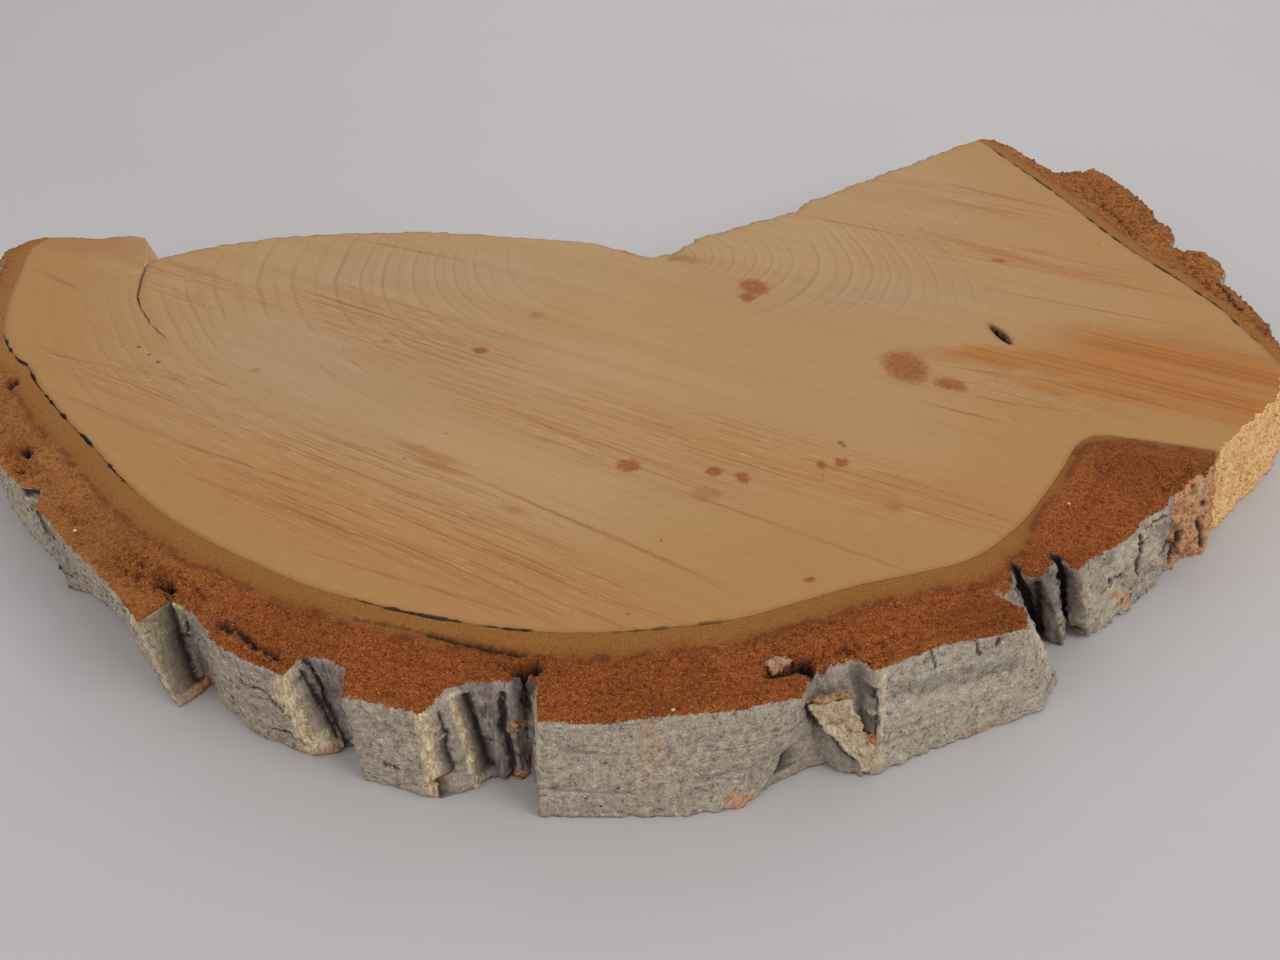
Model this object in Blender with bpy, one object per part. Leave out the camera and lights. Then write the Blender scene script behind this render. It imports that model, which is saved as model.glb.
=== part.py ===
"""A wood slice: about half of a log's cross-section, sawn flat on both faces and broken through its pith.

The sawn wood and the bark that grew on it are one piece, so the part is one solid. Its outline runs
anticlockwise, seen from above: the bark round the left and the front, with its plates and furrows, the
short broken end at the right where the bark is gone, the bark up the right side, and the long break
across the back, which passes the pith and opens into a check that follows a growth ring.

Plan points are millimetres from the pith at the sawn top, and four numbers in a point give its foot on
the underside too. The model is in metres, +Z up, with its origin in the middle of the underside.
"""

import math

import bmesh
import bpy
from mathutils import Vector, noise

MM = 0.001

# Driving dimensions, in millimetres
THICKNESS = 20.0
PITH = Vector((13.0, 32.4))
LEAN = Vector((2.5, -0.5))
FACET = 3.0
LEVELS = 6
BARK_WEAR = 0.7
WEAR_LENGTH = 6.0
BARK_ROUGHNESS = 0.55
BREAK_ROUGHNESS = 0.8
END_ROUGHNESS = 0.9
BROAD_RELIEF = {"along": 7.0, "up": 16.0, "seed": 3.0, "weight": 0.6}
FINE_RELIEF = {"along": 2.6, "up": 6.0, "seed": 11.0, "weight": 0.35}

# How the bark's columns pair with the edge of the wood: by bearing from this point, never closer than this
BEARING_CENTRE = Vector((0.0, -30.0))
LEAST_STEP = 0.18

# The line where the wood meets the bark, from the left corner of the break round to the broken end
WOOD_FRONT = [
    (-163.5, 12), (-165, 4.5), (-161.8, -8), (-158.5, -19.7), (-155, -30), (-151, -40), (-146.8, -47.3),
    (-141.3, -54.4), (-136.7, -58.6), (-133.9, -62.8), (-129, -69), (-123.5, -75.3), (-118, -81.5),
    (-110, -90), (-100, -101), (-90, -110.5), (-80, -118), (-70, -124.3), (-60, -130), (-50, -134),
    (-40, -137.3), (-30, -139.7), (-20, -141.2), (-10, -141.2), (0, -140), (10, -138), (20, -134),
    (30, -130), (40, -127), (50, -123), (60, -114), (67, -105), (73, -96.5), (78, -89), (83, -85.7),
    (90, -87), (97, -89), (103.5, -91),
]

# The same line up the right side
WOOD_RIGHT = [
    (131.8, -58), (132, -50), (131.3, -40), (130.8, -30), (128.5, -20), (126, -10), (122.5, 2),
    (120.5, 12), (118.5, 24), (117, 34), (115, 46), (113, 56), (111, 65), (108.5, 77), (106.5, 88),
    (104.5, 92.8),
]

# Outer face of the bark, plate by plate: each list is one plate, and furrows lie between the lists
LEFT_TIP = [(-164.5, 13), (-168.5, 11), (-172, 5), (-171.5, -2.5)]
LEFT_FURROW = [(-167.5, -5), (-168.5, -9)]
LEFT_PLATE = [(-169.5, -16), (-165.5, -30), (-161.5, -37)]
SHOULDER_FURROW = [(-157, -38), (-157.5, -41.5)]
SHOULDER_PLATE = [(-158, -46), (-151.5, -59), (-146.5, -67.5)]
ELBOW_FURROW = [(-142.5, -67), (-141.5, -71)]
ELBOW_PLATE = [(-142, -75.5), (-133, -88), (-124, -97), (-119, -101.5, -116.5, -100.5)]
CREVICE = [(-116, -102), (-114, -104.5), (-115, -107.5)]
LONG_PLATE = [
    (-111, -110.5, -109, -109), (-104, -118, -101.5, -115), (-97, -124.5, -94.5, -122.5),
    (-90, -131.5, -88.5, -131), (-84, -138, -82, -138),
]
FLAKED_FURROW = [
    (-81, -132.5, -79.5, -134.5), (-79, -133, -78.5, -132.5), (-72.5, -140, -76.8, -133.8),
]
SLANTED_PLATE = [(-72, -142, -75, -137), (-65.5, -146, -67.5, -144), (-58.5, -149.5, -57, -148.5)]
SLANTED_FURROW = [
    (-57, -147.5, -53.5, -147.6), (-55.5, -145.5, -51.5, -146), (-49.5, -148, -49, -148.5),
]
LEFT_BLOCK = [(-49, -154, -48, -153), (-42, -155.5), (-36.5, -157, -36, -156.5)]
STRIPPED_FURROW = [
    (-35.5, -155, -33, -155.5), (-33.8, -152.5, -30.5, -154.5), (-31.5, -151.5, -28.5, -152.5),
    (-25, -151, -23.8, -153), (-22.8, -148.5, -22.5, -151), (-20.8, -152.5, -21.6, -155),
]
FRONT_BLOCK = [
    (-20.5, -158.5, -20.8, -160), (-10, -159, -10, -160.3), (0, -157.5, 0, -160),
    (10, -156, 9.5, -158.5), (17.5, -154.5, 14.5, -154),
]
KNOT_FURROW = [(18.3, -152.5, 18.5, -151.8), (19, -150, 23.5, -149.8)]
LEANING_FLAKE = [(19.8, -148.4, 25.2, -151.6), (25.5, -146.2, 28.6, -152.4), (27, -146, 29.2, -151)]
RIGHT_BLOCK = [
    (29, -148.5, 29.8, -152.4), (40, -143.5, 40.5, -147.3), (49, -141, 50.5, -143),
    (54, -139.5, 61, -138.5), (55, -136, 65.5, -132), (52.5, -131.5, 63.5, -127),
]
CLEFTS = [
    (54.5, -129.5, 64, -125), (56, -124.5, 65, -120.5), (58, -126.5, 67, -122.5),
    (60, -127.5, 69, -123.2), (62.3, -125.5, 70.2, -121), (63.5, -122, 71, -117.5),
    (65.5, -124.5, 72.6, -120),
]
RIDGED_PLATE = [
    (66.5, -125.5, 74, -121.2), (72, -121, 80, -117.2), (78, -116.5, 85, -112.4),
    (84, -110.5, 90.5, -107.8), (88, -107, 93.5, -105),
]
END_FLAKES = [
    (90, -104.5, 95, -102.3), (95.5, -100, 100, -99), (100, -97, 104.5, -97),
    (102.8, -93.2, 106.5, -93.5),
]
BARK_FRONT = (
    LEFT_TIP + LEFT_FURROW + LEFT_PLATE + SHOULDER_FURROW + SHOULDER_PLATE + ELBOW_FURROW
    + ELBOW_PLATE + CREVICE + LONG_PLATE + FLAKED_FURROW + SLANTED_PLATE + SLANTED_FURROW
    + LEFT_BLOCK + STRIPPED_FURROW + FRONT_BLOCK + KNOT_FURROW + LEANING_FLAKE + RIGHT_BLOCK
    + CLEFTS + RIDGED_PLATE + END_FLAKES
)

# Outer face of the bark up the right side, with its two knobs
BARK_RIGHT = [
    (134, -56, 139, -55), (137, -48, 141, -48), (139, -38), (139.8, -28), (139.5, -20), (138.7, -13),
    (142.5, -7), (143.6, -1), (142.4, 5), (137, 5.8), (134.8, 9), (138.4, 15), (140, 22), (138.4, 28),
    (140, 38), (138.7, 52), (137, 63), (134.5, 68.3), (130, 66), (121, 65.5), (119.2, 72), (117, 83),
    (114.5, 91), (111, 95.5), (106.5, 95.3),
]

# Bare wood where a corner of the slice has snapped off
BROKEN_END = [
    (104.5, -90.5, 108.8, -90), (108, -87.5, 112.9, -86.4), (115, -80.5, 119, -80), (121, -75, 125, -74.5),
    (127, -68, 132.5, -66.4), (131.5, -60, 137.5, -58.5),
]

# The break across the back, right to left, then the check along a growth ring and the tab beyond it
BREAK = [
    (103.5, 92.5), (92, 83), (79, 70.5), (66, 60), (55, 49), (44, 40), (38, 31), (27, 24), (18, 17),
    (9, 11), (4, 2), (-3, -1), (-9, 3), (-22, 9), (-40, 12.5), (-62, 16), (-85, 15), (-104, 11.5),
    (-118, 5.5), (-128.5, -1),
]
RING_CHECK = [
    (-130.7, -5), (-128.9, -14), (-126.2, -24), (-122, -33), (-127, -23.6), (-129.8, -14),
    (-131.7, -5.5), (-131.9, -3.3), (-134.6, 4, -130, 4), (-137.7, 11.6, -130.5, 11.4),
]
TAB_BACK = [(-142, 12.3, -137, 12.2), (-150, 11.4), (-157, 12)]

# Holes that open in the top: centre, half length, half width, depth and bearing of the long side
PITS = [
    (17.2, -147.6, 3.0, 2.0, 6.0, 10.0),
    (-83.5, -128.6, 2.4, 1.7, 5.0, -30.0),
    (-137.6, -64.6, 2.6, 1.6, 4.0, -60.0),
    (-123.6, -89.5, 2.6, 1.3, 3.0, -50.0),
    (75.3, -43.3, 4.8, 1.4, 5.0, -78.0),
]
PIT_SIDES = 10
PIT_FLOOR = 0.45
PIT_RISE = 2.0
PIT_WOBBLE = 0.12

WOOD_COLOUR = (0.45, 0.28, 0.13, 1.0)
BARK_COLOUR = (0.27, 0.12, 0.05, 1.0)


def pair_of_ends(point):
    """A plan point as its place on the top face and its place on the underside."""
    top = Vector(point[:2])
    foot = Vector(point[2:]) if len(point) == 4 else top + LEAN
    return top, foot


def subdivided(points, step):
    """The line through points with none of its steps longer than step, as (top, foot) pairs."""
    ends = [pair_of_ends(p) for p in points]
    line = []
    for (top, foot), (next_top, next_foot) in zip(ends, ends[1:]):
        count = max(1, math.ceil((next_top - top).length / step))
        for k in range(count):
            share = k / count
            line.append((top.lerp(next_top, share), foot.lerp(next_foot, share)))
    line.append(ends[-1])
    return line


def smooth_line(points, per_span=8):
    """A Catmull-Rom curve through plan points, as a fine polyline."""
    p = [Vector(q) for q in points]
    p = [2 * p[0] - p[1]] + p + [2 * p[-1] - p[-2]]
    line = []
    for i in range(1, len(p) - 2):
        for k in range(per_span):
            t = k / per_span
            line.append(0.5 * (
                2 * p[i] + (p[i + 1] - p[i - 1]) * t
                + (2 * p[i - 1] - 5 * p[i] + 4 * p[i + 1] - p[i + 2]) * t * t
                + (3 * p[i] - p[i - 1] - 3 * p[i + 1] + p[i + 2]) * t ** 3
            ))
    line.append(p[-2])
    return line


def bearing(point):
    """Direction of a plan point from the middle of the slice, in radians, from -pi at the left to pi."""
    offset = point - BEARING_CENTRE
    angle = math.atan2(offset.y, offset.x)
    return angle if angle < math.pi * 0.75 else angle - 2 * math.pi


def lengths_along(line):
    """Distance from the start of a polyline to each of its points."""
    total = [0.0]
    for a, b in zip(line, line[1:]):
        total.append(total[-1] + (b - a).length)
    return total


def interpolate(value, known, answers):
    """The answer at value, read from the rising list known; the ends hold past it."""
    if value <= known[0]:
        return answers[0]
    for a, b, x, y in zip(known, known[1:], answers, answers[1:]):
        if value <= b:
            return x + (y - x) * (value - a) / max(b - a, 1e-9)
    return answers[-1]


def paired_wood_edge(bark, wood_points):
    """For each column of the bark, the point of the wood's edge at its bearing, always moving onwards."""
    edge = smooth_line(wood_points)
    run = lengths_along(edge)
    bearings = [bearing(p) for p in edge]
    for i in range(1, len(bearings)):
        bearings[i] = max(bearings[i], bearings[i - 1] + 1e-6)
    places = [interpolate(bearing(top), bearings, run) for top, _ in bark]
    places[0] = 0.0
    for i in range(1, len(places)):
        places[i] = max(places[i], places[i - 1] + LEAST_STEP)
    stretch = run[-1] / places[-1]
    xs, ys = [p.x for p in edge], [p.y for p in edge]
    return [
        Vector((interpolate(s * stretch, run, xs), interpolate(s * stretch, run, ys))) for s in places
    ]


def relief(layer, along, height):
    """One layer of the side's relief, between minus and plus its weight."""
    spot = Vector((along / layer["along"], height / layer["up"], layer["seed"]))
    return layer["weight"] * noise.noise(spot)


def roughened(column, level, roughness, along):
    """A column of the side at one level: its foot and top joined, then pushed inwards by its roughness."""
    top, foot, inward = column
    share = level / (LEVELS - 1)
    height = share * THICKNESS
    push = roughness * (0.5 + relief(BROAD_RELIEF, along, height) + relief(FINE_RELIEF, along, height))
    return foot.lerp(top, share) + inward * max(0.0, push), height


def bark_wear(along):
    """How far the sawn top of the bark lies below the wood, where crumbs have come off its rim."""
    return BARK_WEAR * (0.6 + 0.4 * noise.noise(Vector((along / WEAR_LENGTH, 0.0, 5.0))))


def inward_normals(line):
    """Unit normals that point to the left of an anticlockwise outline, so into the slice."""
    normals = []
    for i in range(len(line)):
        along = line[(i + 1) % len(line)][0] - line[i - 1][0]
        normals.append(Vector((-along.y, along.x)).normalized())
    return normals


def build_slice():
    """The solid as a mesh: its side in levels, the sawn faces, and the bark's bands between the two."""
    stretches = [
        (BARK_FRONT, BARK_ROUGHNESS, WOOD_FRONT), (BROKEN_END, END_ROUGHNESS, None),
        (BARK_RIGHT, BARK_ROUGHNESS, WOOD_RIGHT), (BREAK, BREAK_ROUGHNESS, None),
        (RING_CHECK, 0.0, None), (TAB_BACK, BREAK_ROUGHNESS, None),
    ]
    outline, roughness, wood_edge = [], [], []
    for points, rough, wood in stretches:
        line = subdivided(points, FACET)
        outline += line
        roughness += [rough] * len(line)
        wood_edge += paired_wood_edge(line, wood) if wood else [None] * len(line)
    normals = inward_normals(outline)
    columns = [(top, foot, normal) for (top, foot), normal in zip(outline, normals)]
    runs = lengths_along([top for top, _ in outline])

    shape = bmesh.new()

    def corner(spot, height):
        return shape.verts.new(((spot.x + PITH.x) * MM, (spot.y + PITH.y) * MM, height * MM))

    side = [[] for _ in range(LEVELS)]
    for column, rough, edge, along in zip(columns, roughness, wood_edge, runs):
        for level in range(LEVELS):
            spot, height = roughened(column, level, rough, along)
            if edge and level == LEVELS - 1:
                height -= bark_wear(along)
            side[level].append(corner(spot, height))
    count = len(columns)
    for low, high in zip(side, side[1:]):
        for i in range(count):
            j = (i + 1) % count
            shape.faces.new((low[i], low[j], high[j], high[i]))

    def sawn_face(rim, height, shift, facing_up):
        """A sawn face: a band of bark wherever the outline has a wood edge, and one polygon of wood."""
        inner = [corner(e + shift, height) if e else None for e in wood_edge]
        for i in range(count):
            j = (i + 1) % count
            if inner[i] and inner[j]:
                loop = (rim[i], rim[j], inner[j], inner[i])
            elif inner[i]:
                loop = (rim[i], rim[j], inner[i])
            elif inner[j]:
                loop = (rim[i], rim[j], inner[j])
            else:
                continue
            shape.faces.new(loop if facing_up else loop[::-1])
        ring = [inner[i] or rim[i] for i in range(count)]
        return shape.faces.new(ring if facing_up else ring[::-1])

    top_wood = sawn_face(side[-1], THICKNESS, Vector((0.0, 0.0)), True)
    base_wood = sawn_face(side[0], 0.0, LEAN, False)
    for face in shape.faces:
        face.material_index = 1
    top_wood.material_index = base_wood.material_index = 0

    mesh = bpy.data.meshes.new("wood_slice")
    shape.to_mesh(mesh)
    shape.free()
    return mesh


def pit_cutter(index, centre_x, centre_y, half_length, half_width, depth, turn):
    """A tapered plug that cuts one hole down from the top face."""
    shape = bmesh.new()
    rings = []
    spin = math.radians(turn)
    for height, size in ((THICKNESS - depth, PIT_FLOOR), (THICKNESS + PIT_RISE, 1.0 + PIT_RISE / depth)):
        ring = []
        for k in range(PIT_SIDES):
            angle = 2 * math.pi * k / PIT_SIDES
            wobble = 1.0 + PIT_WOBBLE * noise.noise(Vector((k * 1.7, index * 3.1, 0.5)))
            x = half_length * size * wobble * math.cos(angle)
            y = half_width * size * wobble * math.sin(angle)
            ring.append(shape.verts.new((
                (centre_x + x * math.cos(spin) - y * math.sin(spin) + PITH.x) * MM,
                (centre_y + x * math.sin(spin) + y * math.cos(spin) + PITH.y) * MM,
                height * MM,
            )))
        rings.append(ring)
    low, high = rings
    for k in range(PIT_SIDES):
        j = (k + 1) % PIT_SIDES
        shape.faces.new((low[k], low[j], high[j], high[k]))
    shape.faces.new(low[::-1])
    shape.faces.new(high)
    mesh = bpy.data.meshes.new(f"pit_cutter_{index}")
    shape.to_mesh(mesh)
    shape.free()
    cutter = bpy.data.objects.new(mesh.name, mesh)
    cutter.hide_render = True
    cutter.display_type = "WIRE"
    bpy.context.scene.collection.objects.link(cutter)
    return cutter


def plain_material(name, colour, roughness):
    """A Principled BSDF material of one colour."""
    material = bpy.data.materials.new(name)
    material.use_nodes = True
    shader = material.node_tree.nodes["Principled BSDF"]
    shader.inputs["Base Color"].default_value = colour
    shader.inputs["Roughness"].default_value = roughness
    shader.inputs["Metallic"].default_value = 0.0
    return material


def main():
    for old in list(bpy.data.objects):
        bpy.data.objects.remove(old)
    mesh = build_slice()
    mesh.materials.append(plain_material("sawn wood", WOOD_COLOUR, 0.6))
    mesh.materials.append(plain_material("bark", BARK_COLOUR, 0.85))
    wood_slice = bpy.data.objects.new("wood_slice", mesh)
    bpy.context.scene.collection.objects.link(wood_slice)
    for index, pit in enumerate(PITS):
        cut = wood_slice.modifiers.new(f"pit {index}", "BOOLEAN")
        cut.operation = "DIFFERENCE"
        cut.solver = "EXACT"
        cut.object = pit_cutter(index, *pit)
    for axis in range(3):
        places = [v.co[axis] / MM for v in mesh.vertices]
        print(f"axis {axis}: {min(places):.2f} to {max(places):.2f} mm")


main()
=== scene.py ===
# %% [markdown]
# # A wood slice, from its outline to its finish
#
# The object is half of a slice that was sawn across a log and then broken through its pith. It grew as one
# piece, yet three surfaces want three ways of making: the sawn wood is almost flat and lives by its colour,
# the bark is all relief, and the broken faces are fibres. So the frame's one solid is dressed here in a wood
# piece and two pieces of bark, all drawn from the same outline, and then in a flake, crumbs and splinters.

# %% Load the frame
import functools
import math
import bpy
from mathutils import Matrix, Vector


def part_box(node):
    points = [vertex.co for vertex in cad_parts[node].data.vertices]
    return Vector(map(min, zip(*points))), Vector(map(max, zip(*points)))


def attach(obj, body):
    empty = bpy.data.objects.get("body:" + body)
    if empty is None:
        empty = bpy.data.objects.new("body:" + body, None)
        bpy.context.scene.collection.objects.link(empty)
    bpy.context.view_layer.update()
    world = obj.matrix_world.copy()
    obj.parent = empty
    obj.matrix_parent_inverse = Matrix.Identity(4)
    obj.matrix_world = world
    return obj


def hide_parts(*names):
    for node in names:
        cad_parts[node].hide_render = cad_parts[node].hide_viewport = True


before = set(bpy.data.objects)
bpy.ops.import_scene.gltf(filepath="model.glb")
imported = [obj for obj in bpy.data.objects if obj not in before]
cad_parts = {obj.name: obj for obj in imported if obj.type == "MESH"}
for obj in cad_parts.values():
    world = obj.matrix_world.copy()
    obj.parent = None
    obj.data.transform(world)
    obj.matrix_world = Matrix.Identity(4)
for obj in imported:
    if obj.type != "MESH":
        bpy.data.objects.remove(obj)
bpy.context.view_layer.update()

from types import SimpleNamespace

import bpy
import numpy as np
from mathutils import Vector, kdtree, noise
from mathutils.geometry import delaunay_2d_cdt

# %% [markdown]
# ## Sizes and outline
#
# On the real slice everything is placed from the pith, the centre that the rings grew round, so plan points
# are millimetres from the pith at the sawn top. Four numbers in a point give its foot on the underside too,
# where bark plates lean or bulge. A traced picture would be heavy to edit, so the outline is a few named
# lists, one for each plate and furrow that the eye can pick out.

# %% Sizes
MM = 0.001
THICKNESS = 20.0
PITH = Vector((13.0, 32.4))
LEAN = (2.5, -0.5)
WEAR = 0.7
HIDDEN_STEP = 2.0
MEASURING_STEP = 0.4
STEP, TOP_SPACING, LEVELS, SHARE_OF_BITS = 0.45, 0.55, 44, 1.0
RNG = np.random.default_rng(7)

# %% The line between wood and bark
WOOD_FRONT = [
    (-163.5, 12), (-165, 4.5), (-161.8, -8), (-158.5, -19.7), (-155, -30), (-151, -40), (-146.8, -47.3),
    (-141.3, -54.4), (-136.7, -58.6), (-133.9, -62.8), (-129, -69), (-123.5, -75.3), (-118, -81.5),
    (-110, -90), (-100, -101), (-90, -110.5), (-80, -118), (-70, -124.3), (-60, -130), (-50, -134),
    (-40, -137.3), (-30, -139.7), (-20, -141.2), (-10, -141.2), (0, -140), (10, -138), (20, -134),
    (30, -130), (40, -127), (50, -123), (60, -114), (67, -105), (73, -96.5), (78, -89), (83, -85.7),
    (90, -87), (97, -89), (103.5, -91),
]
WOOD_RIGHT = [
    (131.8, -58), (132, -50), (131.3, -40), (130.8, -30), (128.5, -20), (126, -10), (122.5, 2),
    (120.5, 12), (118.5, 24), (117, 34), (115, 46), (113, 56), (111, 65), (108.5, 77), (106.5, 88),
    (104.5, 92.8),
]

# %% [markdown]
# Each stretch of bark has a style as well as points. Tone runs from brownish 0 to pale weathered grey 1.
# Recess is how much of it is the wall of a furrow: purplish, and painted darker as its shade. Rag is how
# ragged its relief is, in mm.

# %% The bark, stretch by stretch: points, tone, recess, rag
BARK_FRONT = [
    ([(-164.5, 13), (-168.5, 11), (-172, 5), (-171.5, -2.5)], 0.4, 0.1, 0.6),
    ([(-167.5, -5), (-168.5, -9)], 0.4, 0.8, 0.8),
    ([(-169.5, -16), (-165.5, -30), (-161.5, -37)], 0.6, 0.0, 0.4),
    ([(-157, -38), (-157.5, -41.5)], 0.4, 0.8, 0.8),
    ([(-158, -46), (-151.5, -59), (-146.5, -67.5)], 0.7, 0.0, 0.4),
    ([(-142.5, -67), (-141.5, -71)], 0.4, 0.8, 0.8),
    ([(-142, -75.5), (-133, -88), (-124, -97), (-119, -101.5, -116.5, -100.5)], 0.6, 0.0, 0.4),
    ([(-116, -102), (-114, -104.5), (-115, -107.5)], 0.5, 0.6, 0.9),
    ([(-111, -110.5, -109, -109), (-104, -118, -101.5, -115), (-97, -124.5, -94.5, -122.5),
      (-90, -131.5, -88.5, -131), (-84, -138, -82, -138)], 0.55, 0.0, 0.3),
    ([(-81, -132.5, -79.5, -134.5), (-79, -133, -78.5, -132.5), (-72.5, -140, -76.8, -133.8)], 0.6, 0.5, 0.5),
    ([(-72, -142, -75, -137), (-65.5, -146, -67.5, -144), (-58.5, -149.5, -57, -148.5)], 0.35, 0.0, 0.35),
    ([(-57, -147.5, -53.5, -147.6), (-55.5, -145.5, -51.5, -146), (-49.5, -148, -49, -148.5)], 0.3, 0.9, 0.6),
    ([(-49, -154, -48, -153), (-42, -155.5), (-36.5, -157, -36, -156.5)], 0.55, 0.0, 0.3),
    ([(-35.5, -155, -33, -155.5), (-33.8, -152.5, -30.5, -154.5)], 0.75, 0.25, 0.25),
    ([(-31.5, -151.5, -28.5, -152.5), (-25, -151, -23.8, -153), (-22.8, -148.5, -22.5, -151),
      (-20.8, -152.5, -21.6, -155)], 0.3, 1.0, 0.6),
    ([(-20.5, -158.5, -20.8, -160), (-10, -159, -10, -160.3), (0, -157.5, 0, -160),
      (10, -156, 9.5, -158.5), (17.5, -154.5, 14.5, -154)], 0.7, 0.0, 0.25),
    ([(18.3, -152.5, 18.5, -151.8), (19, -150, 23.5, -149.8)], 0.6, 0.4, 0.5),
    ([(19.8, -148.4, 25.2, -151.6), (25.5, -146.2, 28.6, -152.4), (27, -146, 29.2, -151)], 0.8, 0.3, 0.4),
    ([(29, -148.5, 29.8, -152.4), (40, -143.5, 40.5, -147.3), (49, -141, 50.5, -143),
      (54, -139.5, 61, -138.5), (55, -136, 65.5, -132)], 1.0, 0.0, 0.25),
    ([(52.5, -131.5, 63.5, -127), (54.5, -129.5, 64, -125), (56, -124.5, 65, -120.5),
      (58, -126.5, 67, -122.5), (60, -127.5, 69, -123.2), (62.3, -125.5, 70.2, -121),
      (63.5, -122, 71, -117.5), (65.5, -124.5, 72.6, -120)], 0.7, 0.7, 0.7),
    ([(66.5, -125.5, 74, -121.2), (72, -121, 80, -117.2), (78, -116.5, 85, -112.4),
      (84, -110.5, 90.5, -107.8), (88, -107, 93.5, -105)], 0.9, 0.0, 0.8),
    ([(90, -104.5, 95, -102.3), (95.5, -100, 100, -99), (100, -97, 104.5, -97),
      (102.8, -93.2, 106.5, -93.5)], 0.0, 0.2, 1.1),
]
BARK_RIGHT = [
    ([(134, -56, 139, -55), (137, -48, 141, -48), (139, -38), (139.8, -28), (139.5, -20), (138.7, -13)],
     0.5, 0.2, 0.6),
    ([(142.5, -7), (143.6, -1), (142.4, 5)], 0.5, 0.0, 0.6),
    ([(137, 5.8), (134.8, 9)], 0.3, 0.8, 0.8),
    ([(138.4, 15), (140, 22), (138.4, 28), (140, 38), (138.7, 52), (137, 63), (134.5, 68.3)], 0.6, 0.1, 0.7),
    ([(130, 66), (121, 65.5)], 0.4, 0.6, 0.6),
    ([(119.2, 72), (117, 83), (114.5, 91), (111, 95.5), (106.5, 95.3)], 0.5, 0.1, 0.4),
]

print("stretches of bark:", len(BARK_FRONT), "in front and", len(BARK_RIGHT), "at the right")

# %% The broken edges
BROKEN_END = [
    (104.5, -90.5, 108.8, -90), (108, -87.5, 112.9, -86.4), (115, -80.5, 119, -80), (121, -75, 125, -74.5),
    (127, -68, 132.5, -66.4), (131.5, -60, 137.5, -58.5),
]
BREAK = [
    (103.5, 92.5), (92, 83), (79, 70.5), (66, 60), (55, 49), (44, 40), (38, 31), (27, 24), (18, 17),
    (9, 11), (4, 2), (-3, -1), (-9, 3), (-22, 9), (-40, 12.5), (-62, 16), (-85, 15), (-104, 11.5),
    (-118, 5.5), (-128.5, -1),
]
RING_CHECK = [
    (-130.7, -5), (-128.9, -14), (-126.2, -24), (-122, -33), (-127, -23.6), (-129.8, -14),
    (-131.7, -5.5), (-131.9, -3.3), (-134.6, 4, -130, 4), (-137.7, 11.6, -130.5, 11.4),
]
TAB_BACK = [(-142, 12.3, -137, 12.2), (-150, 11.4), (-157, 12)]
print("points on the broken edges:", sum(len(e) for e in (BROKEN_END, BREAK, RING_CHECK, TAB_BACK)))

# %% [markdown]
# ## The camera and the light
#
# The photograph looks down at 35 degrees from close by, so near things swell and the far corner shrinks. Only
# the same place and lens give the same outline. The light there is even and soft, brighter from the right, so
# most of it comes from a pale world, with one broad panel at the right and two fainter ones to fill the left
# and the back. Hard lamps would cut the bark into black and white.

# %% Putting an object into the scene
def placed(name, data):
    """A new object with the given data, linked into the scene."""
    thing = bpy.data.objects.new(name, data)
    bpy.context.scene.collection.objects.link(thing)
    return thing


# %% Camera
CAMERA_FROM_PITH = (-5.8, -265.7, 135.5)
PITCH = 35.0
FOCAL_PX = 1101.0
PHOTO_WIDTH = 1280.0
SENSOR = 36.0
camera_data = bpy.data.cameras.new("camera")
camera_data.sensor_width = SENSOR
camera_data.lens = SENSOR * FOCAL_PX / PHOTO_WIDTH
camera_data.clip_start = 0.01
camera = placed("camera", camera_data)
camera.location = [MM * (a + b) for a, b in zip(CAMERA_FROM_PITH, (PITH.x, PITH.y, 0.0))]
camera.rotation_euler = (math.radians(90.0 - PITCH), 0.0, 0.0)
bpy.context.scene.camera = camera
print("lens", round(camera_data.lens, 2), "mm")


# %% Lights
def panel(name, place, size, power, colour):
    """A square area light at place, turned to face the slice."""
    data = bpy.data.lights.new(name, "AREA")
    data.size, data.energy, data.color = size, power, colour
    light = placed(name, data)
    light.location = place
    light.rotation_euler = (-Vector(place)).to_track_quat("-Z", "Y").to_euler()
    print(name, power, "W")


panel("window", (1.1, -0.75, 0.95), 0.8, 10.5, (1.0, 0.985, 0.95))
panel("left_fill", (-0.9, -0.9, 0.5), 1.0, 5.0, (1.0, 0.985, 0.96))
panel("back_fill", (0.2, 1.1, 0.9), 1.2, 3.9, (1.0, 0.99, 0.96))
WORLD_COLOUR = (0.97, 0.97, 0.99, 1.0)
WORLD_STRENGTH = 0.55
world = bpy.data.worlds.new("world")
world.use_nodes = True
world.node_tree.nodes["Background"].inputs["Color"].default_value = WORLD_COLOUR
world.node_tree.nodes["Background"].inputs["Strength"].default_value = WORLD_STRENGTH
bpy.context.scene.world = world
bpy.context.scene.view_settings.view_transform = "Standard"

# %% [markdown]
# ## Turning an outline into a dense, closed skin
#
# A slab has a side that runs round it and two flat faces. The side is a grid: columns along the outline,
# levels up it. The faces could be one polygon each, but then nothing on them could be raised or worn, so
# they are filled with small triangles over rows of points: half a millimetre apart where the bark is worn,
# wider where a face is flat. A constrained Delaunay triangulation joins them to the rim, which keeps the
# whole body closed.


# %% Lines
def four(point):
    """A plan point with its foot: x, y at the top and x, y at the underside."""
    return point if len(point) == 4 else (point[0], point[1], point[0] + LEAN[0], point[1] + LEAN[1])


def stretch(points, step):
    """Rows of x, y, foot x, foot y along a broken line, no further apart than step."""
    ends = np.array([four(p) for p in points], float)
    rows = []
    for a, b in zip(ends, ends[1:]):
        count = max(1, math.ceil(np.hypot(*(b - a)[:2]) / step))
        rows += [a + (b - a) * k / count for k in range(count)]
    return np.array(rows + [ends[-1]])


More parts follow.
